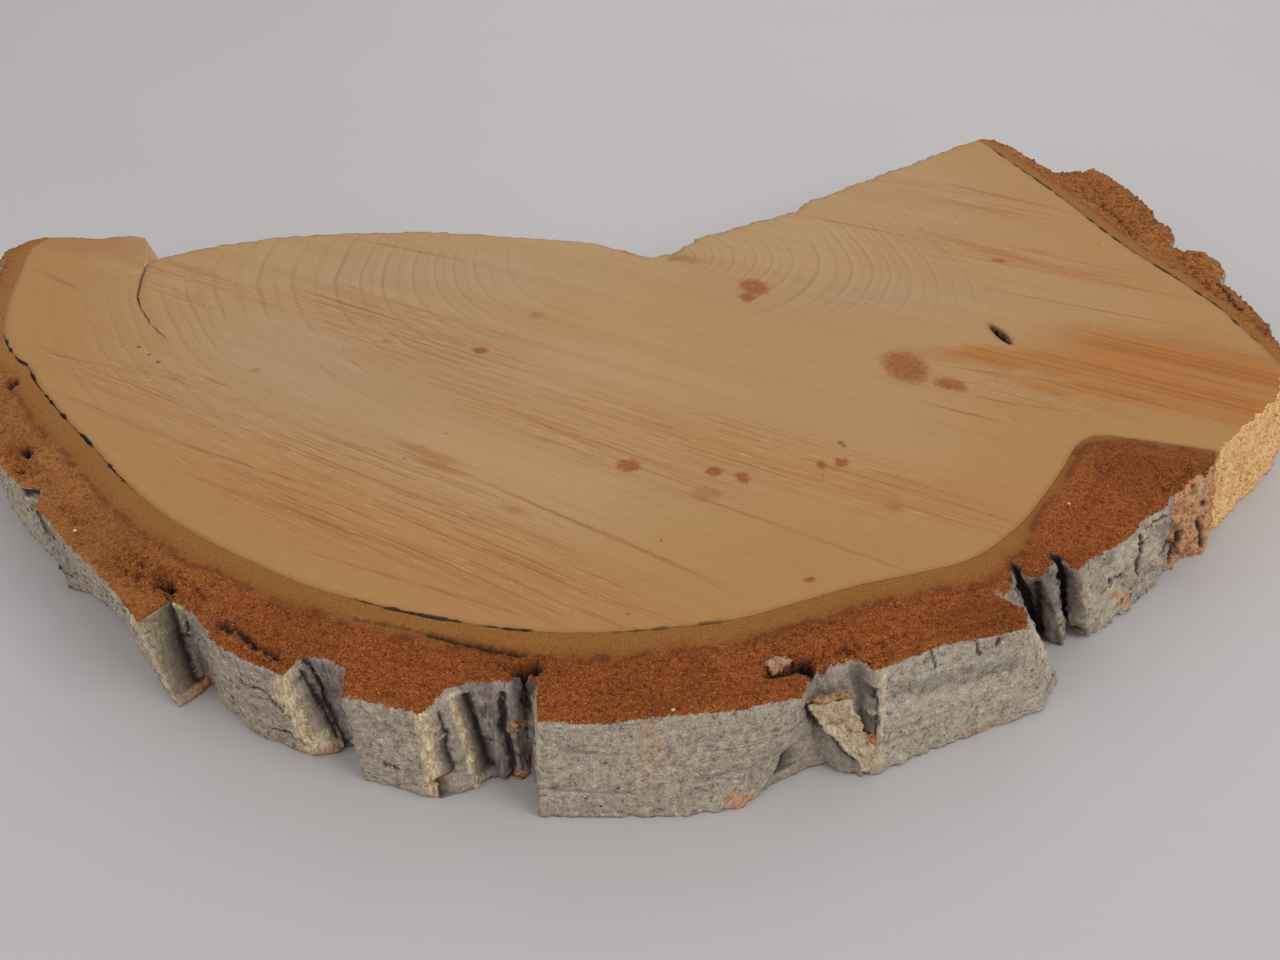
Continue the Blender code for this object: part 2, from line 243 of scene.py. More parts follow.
def curve(points, step, per_span=8):
    """Rows along a Catmull-Rom curve through plan points, evenly spaced."""
    p = np.array(points, float)
    p = np.vstack([2 * p[0] - p[1], p, 2 * p[-1] - p[-2]])
    fine = []
    for i in range(1, len(p) - 2):
        for t in np.arange(per_span) / per_span:
            fine.append(0.5 * (
                2 * p[i] + (p[i + 1] - p[i - 1]) * t
                + (2 * p[i - 1] - 5 * p[i] + 4 * p[i + 1] - p[i + 2]) * t * t
                + (3 * p[i] - p[i - 1] - 3 * p[i + 1] + p[i + 2]) * t ** 3
            ))
    fine = np.array(fine + [p[-2]])
    run = run_along(fine)
    at = np.linspace(0, run[-1], max(2, round(run[-1] / step)) + 1)
    x, y = np.interp(at, run, fine[:, 0]), np.interp(at, run, fine[:, 1])
    return np.column_stack([x, y, x + LEAN[0], y + LEAN[1]])


def run_along(line):
    """Distance from the start of a line to each of its points."""
    return np.concatenate([[0], np.cumsum(np.linalg.norm(np.diff(line, axis=0), axis=1))])


def along(line, spacing):
    """Evenly spaced places along a broken line in space, about so far apart."""
    return resampled(line, max(2, math.ceil(run_along(np.array(line, float))[-1] / spacing)))


def resampled(line, count):
    """A broken line in space as so many evenly spaced places."""
    line = np.array(line, float)
    run = run_along(line)
    at = np.linspace(0, run[-1], count)
    return np.column_stack([np.interp(at, run, line[:, k]) for k in range(3)])


def search_tree(points):
    """A search tree of plan or space points."""
    tree = kdtree.KDTree(len(points))
    for i, p in enumerate(points):
        tree.insert((p[0], p[1], p[2] if len(p) > 2 else 0.0), i)
    tree.balance()
    return tree


def gaps_to(tree, places):
    """Plan distance from each place to the nearest point of a search tree."""
    return np.array([tree.find((p[0], p[1], 0.0))[2] for p in places])


# %% Filling a face
# Shares of the spacing: between rows, of jitter, and kept clear of the rim and of the extra points.
ROW_SHARE, JITTER, RIM_CLEAR, EXTRA_CLEAR = 0.87, 0.22, 0.42, 0.6


def points_within(rim, spacing, extra):
    """Jittered rows of points inside a closed plan outline, and extra ones where detail is finer."""
    after = np.roll(rim, -1, axis=0)
    found = []
    for k, y in enumerate(np.arange(rim[:, 1].min() + spacing / 2, rim[:, 1].max(), ROW_SHARE * spacing)):
        crossing = (rim[:, 1] <= y) != (after[:, 1] <= y)
        a, b = rim[crossing], after[crossing]
        xs = np.sort(a[:, 0] + (y - a[:, 1]) * (b[:, 0] - a[:, 0]) / (b[:, 1] - a[:, 1]))
        for left, right in zip(xs[::2], xs[1::2]):
            x = np.arange(left + spacing * (0.5 + 0.5 * (k % 2)), right - 0.4 * spacing, spacing)
            found.append(np.column_stack([x, np.full(len(x), y)]))
    points = np.vstack(found)
    points = points + RNG.uniform(-JITTER, JITTER, points.shape) * spacing
    points = points[gaps_to(search_tree(rim), points) > RIM_CLEAR * spacing]
    if len(extra):
        points = np.vstack([points[gaps_to(search_tree(extra), points) > EXTRA_CLEAR * spacing], extra])
    return points


def fill(rim, spacing, extra=()):
    """Points inside a rim, and triangles over the rim's own points and those, all facing up."""
    inner = points_within(rim, spacing, extra)
    points = np.vstack([rim, inner])
    edges = [(i, (i + 1) % len(rim)) for i in range(len(rim))]
    made, _, faces, origin, _, _ = delaunay_2d_cdt([Vector(p) for p in points], edges, [], 1, 1e-7)
    if len(made) != len(points):
        print("points merged while filling:", len(points) - len(made))
    return inner, [[origin[i][0] for i in face] for face in faces]


# %% A closed slab
def side_grid(rows, levels):
    """Places on the slab's side, level by level from the underside up, with its outline as drawn."""
    share = np.linspace(0.0, 1.0, levels)[:, None, None]
    plan = rows[None, :, 2:] * (1 - share) + rows[None, :, :2] * share
    height = np.broadcast_to(share * THICKNESS, (levels, len(rows), 1))
    return np.concatenate([plan, height], axis=2)


def slab(side, top_spacing, base_spacing, extra=()):
    """Closes a side with two filled faces: places in mm, faces, and each point's level and column."""
    levels, count, _ = side.shape
    places = side.reshape(-1, 3)
    faces = []
    for k in range(levels - 1):
        for i in range(count):
            j = (i + 1) % count
            faces.append([k * count + i, k * count + j, (k + 1) * count + j, (k + 1) * count + i])
    level = np.repeat(np.arange(levels), count)
    column = np.tile(np.arange(count), levels)
    for row, spacing, more, height in ((levels - 1, top_spacing, extra, THICKNESS),
                                       (0, base_spacing, (), 0.0)):
        inner, triangles = fill(side[row, :, :2], spacing, more)
        start, first = len(places), row * count
        places = np.vstack([places, np.column_stack([inner, np.full(len(inner), height)])])
        level = np.concatenate([level, np.full(len(inner), levels if row else -1)])
        column = np.concatenate([column, np.full(len(inner), -1)])
        for tri in triangles:
            tri = [first + i if i < count else start + i - count for i in tri]
            faces.append(tri if row else tri[::-1])
    return {"places": places, "faces": faces, "level": level, "column": column}


def outward(rows):
    """Unit normals of an outline, smoothed over a few columns."""
    middle = (rows[:, :2] + rows[:, 2:]) / 2
    along = np.roll(middle, -2, axis=0) - np.roll(middle, 2, axis=0)
    normal = np.column_stack([along[:, 1], -along[:, 0]])
    return normal / np.maximum(np.linalg.norm(normal, axis=1, keepdims=True), 1e-9)


def pushed(side, rows, push):
    """The side's places moved out along the outline's normals, by so many mm each."""
    moved = side.copy()
    moved[:, :, :2] += outward(rows)[None] * push[:, :, None]
    return moved


# %% [markdown]
# Relief is noise with a purpose. The same helper measures it everywhere, in millimetres: a stretched noise
# gives fibres, a square one gives grain, and a fractal one gives torn edges.

# %% Noise and masks
def rumple(places, size, seed, octaves=1, rough=0.5):
    """Noise from -1 to 1 at each place; size gives the width of one lump along x, y and z in mm."""
    scaled = np.asarray(places, float) / np.asarray(size, float)
    if octaves == 1:
        return np.array([noise.noise((x + seed, y, z)) for x, y, z in scaled])
    return np.array([noise.fractal((x + seed, y, z), 1.0 - rough, 2.0, octaves) for x, y, z in scaled])


def ease(value, start, end):
    """0 before start, 1 after end, and a soft step between."""
    t = np.clip((np.asarray(value, float) - start) / (end - start), 0.0, 1.0)
    return t * t * (3 - 2 * t)


def away_from(places, line):
    """Distance from each place to a broken line in space."""
    line = np.array(line, float)
    nearest = np.full(len(places), np.inf)
    for a, b in zip(line, line[1:]):
        reach = np.clip(((places - a) @ (b - a)) / max((b - a) @ (b - a), 1e-9), 0, 1)
        nearest = np.minimum(nearest, np.linalg.norm(places - a - reach[:, None] * (b - a), axis=1))
    return nearest


MARK_STEP = 0.3


def snapped(table, places, near=6.0):
    """The marks that start near the given places, each laid onto the nearest of them."""
    tree = search_tree(places)
    laid = []
    for line, reach, amount in table:
        hits = [tree.find(p) for p in along(line, MARK_STEP)]
        if hits[0][2] < near:
            laid.append(([places[i] for _, i, _ in hits], reach, amount))
    return laid


def marked(places, table, ragged=0.35):
    """The strongest of a table of soft lines at each place; each row is a line, a reach and an amount."""
    strongest = np.zeros(len(places))
    wobble = 1 + ragged * rumple(places, (1.4, 1.4, 1.8), 21.0, 2)
    for line, reach, amount in table:
        far = away_from(places, line) * wobble
        strongest = np.maximum(strongest, amount * ease(far, reach * 1.25, reach * 0.5))
    return strongest


# %% Making the object
BOX = np.array(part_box("wood_slice"))


def make_object(name, shape, notes, materials, slots=None):
    """A mesh object from places in mm round the pith, with one number per point for each note."""
    mesh = bpy.data.meshes.new(name)
    corners = np.clip((shape["places"] + (PITH.x, PITH.y, 0.0)) * MM, BOX[0], BOX[1])
    mesh.from_pydata(corners.tolist(), [], shape["faces"])
    for title, values in notes.items():
        mesh.attributes.new(title, "FLOAT", "POINT").data.foreach_set("value", np.asarray(values, np.float32))
    for material in materials:
        mesh.materials.append(material)
    if slots is not None:
        mesh.polygons.foreach_set("material_index", np.asarray(slots, np.int32))
    mesh.polygons.foreach_set("use_smooth", np.ones(len(mesh.polygons), bool))
    mesh.update()
    print(f"{name}: {len(mesh.vertices)} points, {sum(len(p) - 2 for p in shape['faces'])} triangles")
    return placed(name, mesh)


# %% [markdown]
# ## Materials written as sums
#
# Every finish here is a short sum of noises and masks. Node editors draw such sums as boxes and wires; in a
# script the same thing reads better as calls, so a small class adds one node per call and hands back its
# output. Patterns read Object coordinates in millimetres from the pith, or the notes stored on the mesh.


# %% Adding a node
def add_node(tree, kind, output=0, inputs=None, **settings):
    """Adds a node to a tree, sets or links its inputs, and gives one of its outputs."""
    node = tree.nodes.new(kind)
    for key, value in settings.items():
        setattr(node, key, value)
    for key, value in (inputs or {}).items():
        if isinstance(value, bpy.types.NodeSocket):
            tree.links.new(value, node.inputs[key])
        else:
            node.inputs[key].default_value = value
    return node.outputs[output]


# %% A recipe for nodes
class Recipe:
    """A material whose nodes are added one call at a time."""

    def __init__(self, name):
        self.material = bpy.data.materials.new(name)
        self.material.use_nodes = True
        self.tree = self.material.node_tree
        self.shader = self.tree.nodes["Principled BSDF"]
        object_place = self.add("TexCoord", "Object")
        moved = self.add("VectorMath", 0, {0: object_place, 1: (-PITH.x * MM, -PITH.y * MM, 0.0)},
                         operation="ADD")
        self.place = self.add("VectorMath", 0, {0: moved, "Scale": 1.0 / MM}, operation="SCALE")

    def add(self, kind, output=0, inputs=None, **settings):
        return add_node(self.tree, "ShaderNode" + kind, output, inputs, **settings)

    def math(self, operation, a, b=0.0, clamp=False):
        return self.add("Math", 0, {0: a, 1: b}, operation=operation, use_clamp=clamp)

    def note(self, name):
        return self.add("Attribute", "Fac", attribute_name=name, attribute_type="GEOMETRY")

    def turned(self, where, angle, scale):
        """A place turned by an angle in plan and scaled along its new axes."""
        turn = self.add("VectorRotate", 0, {"Vector": where, "Angle": math.radians(-angle)},
                        rotation_type="Z_AXIS")
        return self.add("VectorMath", 0, {0: turn, 1: scale}, operation="MULTIPLY")

    def shaken(self, where, scale, amount, detail=2.0):
        """A place moved about by noise, amount mm at most."""
        colour = self.add("TexNoise", "Color", {"Vector": where, "Scale": scale, "Detail": detail})
        centred = self.add("VectorMath", 0, {0: colour, 1: (-0.5, -0.5, -0.5)}, operation="ADD")
        shift = self.add("VectorMath", 0, {0: centred, "Scale": 2 * amount}, operation="SCALE")
        return self.add("VectorMath", 0, {0: where, 1: shift}, operation="ADD")

    def noise(self, where, scale, detail=2.0, rough=0.5, bend=0.0):
        return self.add("TexNoise", "Fac", {"Vector": where, "Scale": scale, "Detail": detail,
                                            "Roughness": rough, "Distortion": bend})

    def step(self, value, low, high):
        """A soft step from 0 at low to 1 at high; high may be the smaller one."""
        return self.add("MapRange", 0, {"Value": value, "From Min": low, "From Max": high},
                        interpolation_type="SMOOTHSTEP", clamp=True)

    def plus(self, a, b, clamp=False):
        return self.math("ADD", a, b, clamp)

    def both(self, a, b):
        return self.math("MULTIPLY", a, b)

    def either(self, a, b):
        return self.math("MAXIMUM", a, b)

    def blend(self, share, a, b):
        """Colour a turned towards colour b by share."""
        return self.add("Mix", 2, {0: share, 6: a, 7: b}, data_type="RGBA")

    def coat(self, base, colour, mask, share):
        """The base colour with another one over it, where the mask is, in a share of full strength."""
        return self.blend(self.both(mask, share), base, paint(*colour))

    def spot(self, spot, where, soft=0.35):
        """An elliptical spot in plan: 1 inside, 0 outside, its rim as ragged as where."""
        (x, y), half_x, half_y, angle = spot
        offset = self.add("VectorMath", 0, {0: where, 1: (-x, -y, 0.0)}, operation="ADD")
        flat = self.turned(offset, angle, (1.0 / half_x, 1.0 / half_y, 0.0))
        reach = self.add("VectorMath", "Value", {0: flat}, operation="LENGTH")
        return self.step(reach, 1.0 + soft, 1.0 - soft)

    def spots(self, table, where, soft=0.35):
        """The strongest of many spots at each place."""
        strongest = self.spot(table[0], where, soft)
        for row in table[1:]:
            strongest = self.either(strongest, self.spot(row, where, soft))
        return strongest

    def dots(self, spacing, radius, share):
        """Round dots of a radius in mm, one to a cell as wide as the spacing, in a share of the cells."""
        distance = self.add("TexVoronoi", "Distance", {"Vector": self.place, "Scale": 1.0 / spacing})
        pick = self.add("SeparateColor", 0, {0: distance.node.outputs["Color"]})
        inside = self.step(distance, 1.3 * radius / spacing, 0.7 * radius / spacing)
        return self.both(inside, self.step(pick, 1.0 - share - 0.01, 1.0 - share + 0.01))

    def seam_line(self, distance):
        """A thin black line along the opened seam between wood and bark, painted as the shadow in the gap,
        which comes and goes.
        """
        uneven = self.noise(self.place, 0.2, 2.0, 0.4)
        width = self.math("MINIMUM", self.math("MULTIPLY", self.math("SUBTRACT", uneven, 0.45), 3.6), 0.5)
        return self.step(self.math("SUBTRACT", distance, width), 0.1, -0.1)

    def finish(self, colour, height, depth, rough, gloss):
        """Wires colour, roughness and a bump of so many mm into the shader."""
        self.tree.links.new(colour, self.shader.inputs["Base Color"])
        self.tree.links.new(rough, self.shader.inputs["Roughness"])
        bump = self.add("Bump", 0, {"Height": height, "Strength": 1.0, "Distance": depth * MM})
        self.tree.links.new(bump, self.shader.inputs["Normal"])
        self.shader.inputs["Specular IOR Level"].default_value = gloss
        return self.material

    def between(self, share, low, high):
        """A share from 0 to 1 spread between two numbers."""
        return self.add("MapRange", 0, {"Value": share, "To Min": low, "To Max": high})


def paint(red, green, blue):
    """A display colour, 0 to 255, as the linear colour that a shader wants."""
    linear = []
    for c in (red, green, blue):
        c /= 255.0
        linear.append(c / 12.92 if c <= 0.04045 else ((c + 0.055) / 1.055) ** 2.4)
    return (*linear, 1.0)


# %% [markdown]
# ### Sawn wood
#
# End grain shows three patterns at once: growth rings that follow the log's shape, the saw's straight
# slanting marks, and stains where resin came up. A wood texture node could draw round rings only, so the
# ring's distance is stored on the mesh, and the material turns it into bands. The saw marks are noise drawn
# out dozens of times longer than wide, strong only where the saw dragged; each zone is a soft ellipse.

# %% Where the stains and marks are: centre, half length, half width, bearing
SAW_ANGLE = -31.0
RING_PITCH = 5.6
STAINS = [
    ((22, -18.5), 3.2, 4.6, 20), ((20, -24), 2.0, 2.6, 0), ((51.2, -58.4), 4.7, 6.8, 5),
    ((59, -66), 3.4, 2.4, -30), ((-8, -96), 2.2, 2.1, 0), ((8, -98), 1.5, 1.3, 0), ((13, -100), 1.4, 1.9, 0),
    ((32, -95), 1.3, 1.4, 0), ((28, -96), 0.9, 1.5, 0), ((33, -88.5), 0.8, 0.9, 0),
    ((-41, -51), 1.5, 1.4, 0), ((86, -3), 2.0, 1.2, -20), ((21.5, -129), 1.0, 0.9, 0),
]
FAINT_STAINS = [
    ((-30, -34), 1.8, 1.6, 0), ((6, -105), 2.5, 2.0, 0), ((39, -109), 1.6, 1.4, 0), ((6, -2), 5.0, 2.2, -25),
    ((-46, -92), 8.0, 1.3, -31), ((-88, -60), 1.2, 1.0, 0), ((-62, -47), 1.2, 0.9, 0),
    ((-28, -110), 3.0, 1.0, -30),
]
STREAK_ZONES = [
    ((-55, -106), 50, 13, -31), ((20, -93), 46, 9, -27), ((-62, -40), 34, 11, -36), ((-120, -14), 26, 7, -27),
    ((96, -4), 30, 8, -28), ((-118, -62), 24, 6, -29), ((86, 40), 30, 6, -36), ((-18, -86), 34, 6, -34),
    ((-32, -124), 34, 9, -30), ((74, -70), 24, 6, -20),
]
# Painted sheen: broad greyish-lilac zones where the sawn face shows a sheen
LILAC_SHEEN_ZONES = [((-76, -54), 34, 30, 0), ((-60, -10), 34, 14, 0), ((50, -24), 26, 9, 0)]
RING_ZONES = [((-84, -34), 44, 36, 24), ((42, 2), 36, 31, 0)]
RESIN_ZONES = [
    ((108, -60), 28, 18, -18), ((119, -67), 14, 18, 0), ((80, -57), 24, 5, -13), ((88, -70), 16, 3, -20),
]
WARM_ZONES = [((34, -99), 48, 8, -22), ((-52, -112), 40, 9, -30), ((94, -6), 26, 5, -27)]
TAB_ZONE = ((-150, 7), 15, 6, -14)
PITH_MARKS = [((-2, 3), 3.2, 1.0, -20), ((3, -2), 2.0, 1.2, 20), ((-9, 2), 2.2, 0.7, -30)]
# Thin cracks and small holes in the sawn face, with no relief, painted dark as the shadow in them
FINE_CRACKS = [
    ((-120, -35.3), 4.2, 0.28, -57), ((-115, -42), 4.4, 0.2, -50), ((-116.5, -49.5), 0.5, 0.4, 0),
    ((-113.0, -53.0), 0.5, 0.4, 0), ((-110, -56.5), 0.5, 0.4, 0),
]

# %% Single saw marks that stand out: from, to, half width
STREAKS = [
    ((-133, 0), (-103.5, -17.6), 0.5), ((-157, -9), (-143.5, -18.7), 0.8), ((-139, -51), (-112, -61), 0.4),
    ((-124, -70.4), (-96, -87.4), 0.5), ((-96, -87.4), (-62, -104.3), 0.45),
    ((-86.4, -100.4), (-48.4, -119.7), 0.5),
    ((-48.6, -94), (-37.9, -99.4), 1.1), ((-35.5, -100.7), (-6.3, -120.8), 0.45),
    ((-88.9, -19.9), (-58, -38.3), 0.6),
    ((-83.3, 12), (-53.8, -1.7), 0.5), ((-68, -110.4), (-33.1, -131.2), 0.4),
    ((-60.9, -121.9), (-22.7, -138), 0.4),
    ((-31.9, -76), (-6.4, -96.4), 0.5), ((-51.8, -109.2), (-10.1, -135), 0.4),
    ((-97.8, -62.8), (-91.9, -66.7), 0.5),
    ((2.6, -105), (37.4, -126.3), 0.45), ((-12.7, -115.8), (8.6, -131.7), 0.5), ((84, 54), (114, 30.6), 0.9),
    ((80.5, 42.3), (103, 21), 0.4), ((37.5, 29), (64.8, 13.5), 0.5), ((72, 15), (99.7, -8.8), 2.0),
    ((81.7, -2.1), (127, -26), 0.6), ((82, -21.3), (122.8, -41.8), 0.4), ((52.9, -74), (66, -80.7), 0.45),
    ((61.7, -70.6), (78.5, -76.6), 0.45), ((59, -57.9), (96.7, -69.8), 0.5),
]

# %% The slit
SLIT = ((75.5, -43.3), 4.8, 1.15, -78)
SLIT_DEPTH = 3.5
SLIT_HALO = (SLIT[0], 5.4, 2.0, -78)
print("stains:", len(STAINS) + len(FAINT_STAINS), "single saw marks:", len(STREAKS))


# %% A single saw mark
def streak_spot(start, end, half_width):
    """The long thin ellipse that reaches from start to end."""
    (x1, y1), (x2, y2) = start, end
    bearing = math.degrees(math.atan2(y2 - y1, x2 - x1))
    return ((x1 + x2) / 2, (y1 + y2) / 2), math.hypot(x2 - x1, y2 - y1) / 2, half_width, bearing


# %% Growth rings
def ring_masks(r):
    """Where pale early wood, dark late wood and the fainter lines between them show."""
    ring = r.plus(r.note("ring_mm"), r.both(r.noise(r.place, 0.035, 3.0), 3.5))
    drift = r.noise(r.add("CombineXYZ", 0, {"X": ring}), 0.045, 1.0)
    phase = r.plus(r.math("DIVIDE", ring, RING_PITCH), r.both(drift, 2.6))
    part = r.math("FRACT", phase)
    year = r.math("FLOOR", phase)
    strength = r.add("TexWhiteNoise", "Value", {"W": year}, noise_dimensions="1D")
    late = r.both(r.step(part, 0.82, 0.94), r.step(part, 1.0, 0.96))
    thin_part = r.math("FRACT", r.both(phase, 2.0))
    thin_late = r.both(r.step(thin_part, 0.68, 0.92), r.step(thin_part, 1.0, 0.95))
    patchy = r.step(r.noise(r.place, 0.035, 3.0), 0.28, 0.56)
    shown = r.both(r.plus(r.spots(RING_ZONES, r.place, 0.7), 0.14, clamp=True), patchy)
    late = r.both(r.both(late, r.between(strength, 0.35, 1.0)), shown)
    thin_late = r.both(thin_late, shown)
    early = r.both(r.both(r.step(part, 0.0, 0.06), r.step(part, 0.35, 0.06)), shown)
    return early, late, thin_late


# %% Saw marks
def saw_marks(r):
    """Noises drawn out along the saw's way, and the masks of broad, thin and pale marks; the pale ones are
    saw fluff, partly a painted highlight.
    """
    swept = r.shaken(r.place, 0.008, 3.0, 1.0)
    wide = r.noise(r.turned(swept, SAW_ANGLE, (0.01, 0.24, 0.02)), 1.0, 3.0, 0.6)
    middle = r.noise(r.turned(swept, SAW_ANGLE + 1.0, (0.011, 0.9, 0.02)), 1.0, 2.0, 0.6)
    thin = r.noise(r.turned(swept, SAW_ANGLE - 0.7, (0.02, 2.6, 0.02)), 1.0, 2.0, 0.6)
    broken = r.noise(r.turned(swept, SAW_ANGLE, (0.06, 0.9, 0.02)), 1.0, 2.0, 0.6)
    fluff = r.noise(r.turned(swept, SAW_ANGLE + 1.0, (0.2, 3.0, 0.02)), 1.0, 2.0, 0.6)
    zones = r.spots(STREAK_ZONES, r.shaken(r.place, 0.06, 7.0), 0.55)
    everywhere = r.plus(r.both(zones, 0.9), 0.14, clamp=True)
    broad_mark = r.both(r.both(r.step(middle, 0.46, 0.62), r.step(wide, 0.36, 0.56)), everywhere)
    line_mark = r.both(r.both(r.step(thin, 0.48, 0.6), r.step(broken, 0.4, 0.56)), everywhere)
    fluff_and_highlight = r.both(r.step(fluff, 0.58, 0.7), r.both(everywhere, r.step(broken, 0.34, 0.5)))
    return SimpleNamespace(wide=wide, middle=middle, thin=thin,
                           broad_mark=broad_mark, line_mark=line_mark, fluff_and_highlight=fluff_and_highlight)


# %% Wood with its rings and marks
def marked_wood(r, saw):
    early, late, thin_late = ring_masks(r)
    cloud = r.step(r.noise(r.place, 0.016, 2.0), 0.35, 0.65)
    base = r.blend(cloud, paint(181, 145, 100), paint(176, 138, 88))
    base = r.coat(base, (172, 129, 84), r.step(saw.wide, 0.38, 0.62), 0.3)
    base = r.coat(base, (172, 125, 68), r.step(r.note("to_bark_mm"), 40.0, 6.0), 0.8)
    # Painted sheen: greyish lilac laid over the wood in the sheen zones
    base = r.coat(base, (173, 141, 110), r.spots(LILAC_SHEEN_ZONES, r.place, 0.8), 0.42)
    base = r.coat(base, (196, 164, 120), early, 0.13)
    base = r.coat(base, (140, 104, 72), late, 0.38)
    base = r.coat(base, (144, 110, 78), thin_late, 0.3)
    single = r.spots([streak_spot(*row) for row in STREAKS], r.shaken(r.place, 0.5, 0.35), 0.6)
    single = r.both(single, r.between(r.step(saw.thin, 0.4, 0.56), 0.35, 1.0))
    warm = r.both(r.spots(WARM_ZONES, r.shaken(r.place, 0.08, 6.0), 0.7), r.between(saw.wide, 0.2, 0.8))
    base = r.coat(base, (178, 116, 52), warm, 0.6)
    base = r.coat(base, (170, 110, 56), saw.broad_mark, 0.5)
    base = r.coat(base, (154, 90, 42), single, 0.72)
    base = r.coat(base, (144, 84, 38), saw.line_mark, 0.52)
    # Pale saw fluff, partly a painted highlight on the raised fibres
    base = r.coat(base, (214, 186, 144), saw.fluff_and_highlight, 0.34)
    return base


# %% Resin, stains, dots and the slit
def stained(r, saw, base, pores):
    """Everything that lies over the rings and the marks; some of it is on the upper face only."""
    upper = r.step(r.add("SeparateXYZ", "Z", {0: r.place}), 5.0, 15.0)
    ragged = r.shaken(r.place, 0.55, 1.3, 3.0)
    resin_tone = r.blend(r.step(saw.middle, 0.36, 0.6), paint(154, 90, 26), paint(174, 112, 42))
    uneven = r.between(r.step(saw.wide, 0.34, 0.56), 0.6, 0.96)
    resin = r.both(r.spots(RESIN_ZONES, r.shaken(r.place, 0.1, 6.0), 0.5), uneven)
    base = r.blend(resin, base, resin_tone)
    base = r.coat(base, (162, 112, 70), r.spot(TAB_ZONE, ragged, 0.5), 0.6)
    # Painted shade: thin cracks painted dark brown on the upper face, as the shadow in them
    fine_cracks = r.both(r.spots(FINE_CRACKS, r.shaken(r.place, 0.3, 0.6), 0.5), upper)
    base = r.blend(fine_cracks, base, paint(96, 58, 34))
    base = r.coat(base, (122, 92, 66), r.both(r.spots(PITH_MARKS, ragged, 0.5), upper), 0.6)
    mottled = r.between(r.step(r.noise(r.place, 0.8, 3.0), 0.3, 0.62), 0.7, 1.0)
    stain = r.both(r.both(r.spots(STAINS, ragged), mottled), upper)
    base = r.coat(base, (142, 74, 14), stain, 0.95)
    faint = r.both(r.both(r.spots(FAINT_STAINS, ragged, 0.6), mottled), upper)
    base = r.coat(base, (146, 84, 30), faint, 0.5)
    base = r.coat(base, (110, 72, 44), r.dots(7.0, 0.32, 0.35), 0.6)
    base = r.coat(base, (236, 222, 200), r.dots(9.0, 0.2, 0.3), 0.8)
    base = r.coat(base, (126, 88, 54), r.step(pores, 0.5, 0.7), 0.3)
    base = r.coat(base, (198, 164, 122), r.step(pores, 0.42, 0.3), 0.3)
    base = r.coat(base, (150, 102, 52), r.step(r.note("to_bark_mm"), 1.3, 0.1), 0.55)
    # Painted shade: a broken black line where the seam has opened, the shadow in the gap
    base = r.blend(r.both(r.seam_line(r.note("to_bark_mm")), r.note("seam")), base, paint(38, 25, 20))
    # Painted shade: the slit mask paints the inside of the sunk slit near black, as its shadow
    slit = r.both(r.spot(SLIT, r.shaken(r.place, 0.9, 0.5), 0.2), upper)
    base = r.coat(base, (120, 76, 44), r.spot(SLIT_HALO, ragged, 0.4), 0.45)
    base = r.blend(slit, base, paint(36, 20, 14))
    return base


# %% The sawn wood's finish
def sawn_wood():
    r = Recipe("sawn wood")
    saw = saw_marks(r)
    pores = r.noise(r.place, 2.6, 3.0, 0.7)
    base = stained(r, saw, marked_wood(r, saw), pores)
    height = r.plus(r.both(saw.thin, 0.6), r.both(pores, 0.5))
    return r.finish(base, height, 0.16, r.between(saw.wide, 0.55, 0.72), 0.28)


SAWN_WOOD = sawn_wood()
print(SAWN_WOOD.name, "has", len(SAWN_WOOD.node_tree.nodes), "nodes")

# %% [markdown]
# ### Torn wood
#
# Where the slice broke, the wood shows pale straw fibres with small dark pulls between them. On the long
# break they stand upright, because a log splits along its grain.


# %% The torn wood's finish
def torn_wood(name, pale, deep, dark, lengths_per_mm):
    r = Recipe(name)
    fibre = r.noise(r.turned(r.place, 0.0, (2.0, 2.0, lengths_per_mm)), 1.0, 4.0, 0.65)
    lump = r.noise(r.place, 0.5, 3.0, 0.6)
    speck = r.noise(r.turned(r.place, 20.0, (1.3, 1.3, 1.8 * lengths_per_mm)), 1.5, 3.0, 0.6)
    tone = r.blend(r.step(fibre, 0.36, 0.62), deep, pale)
    tone = r.blend(r.both(r.step(lump, 0.56, 0.38), 0.4), tone, deep)
    tone = r.coat(tone, (255, 224, 172), r.step(fibre, 0.56, 0.7), 0.5)
    tone = r.blend(r.both(r.step(speck, 0.6, 0.7), 0.7), tone, dark)
    height = r.plus(r.both(fibre, 0.9), r.both(lump, 0.4))
    return r.finish(tone, height, 0.6, r.between(lump, 0.75, 0.95), 0.2)


STRAW_END = torn_wood("torn straw wood", paint(246, 206, 148), paint(222, 174, 114), paint(152, 98, 56), 0.45)
SPLIT_FACE = torn_wood("split wood", paint(216, 178, 130), paint(180, 138, 94), paint(126, 88, 56), 0.09)

# %% [markdown]
# ### Bark
#
# From the wood outwards a real edge runs through an olive-brown growing layer, then red-brown inner bark as
# granular as rusted iron, and ends in grey weathered plates. Separate materials would meet in hard lines, so
# one recipe blends them by the notes on the mesh: how far a point lies from the wood, how far below the rim,
# how much cream fibre and rust the bark has there, and how much painted shadow, down to black in cracks and
# holes.


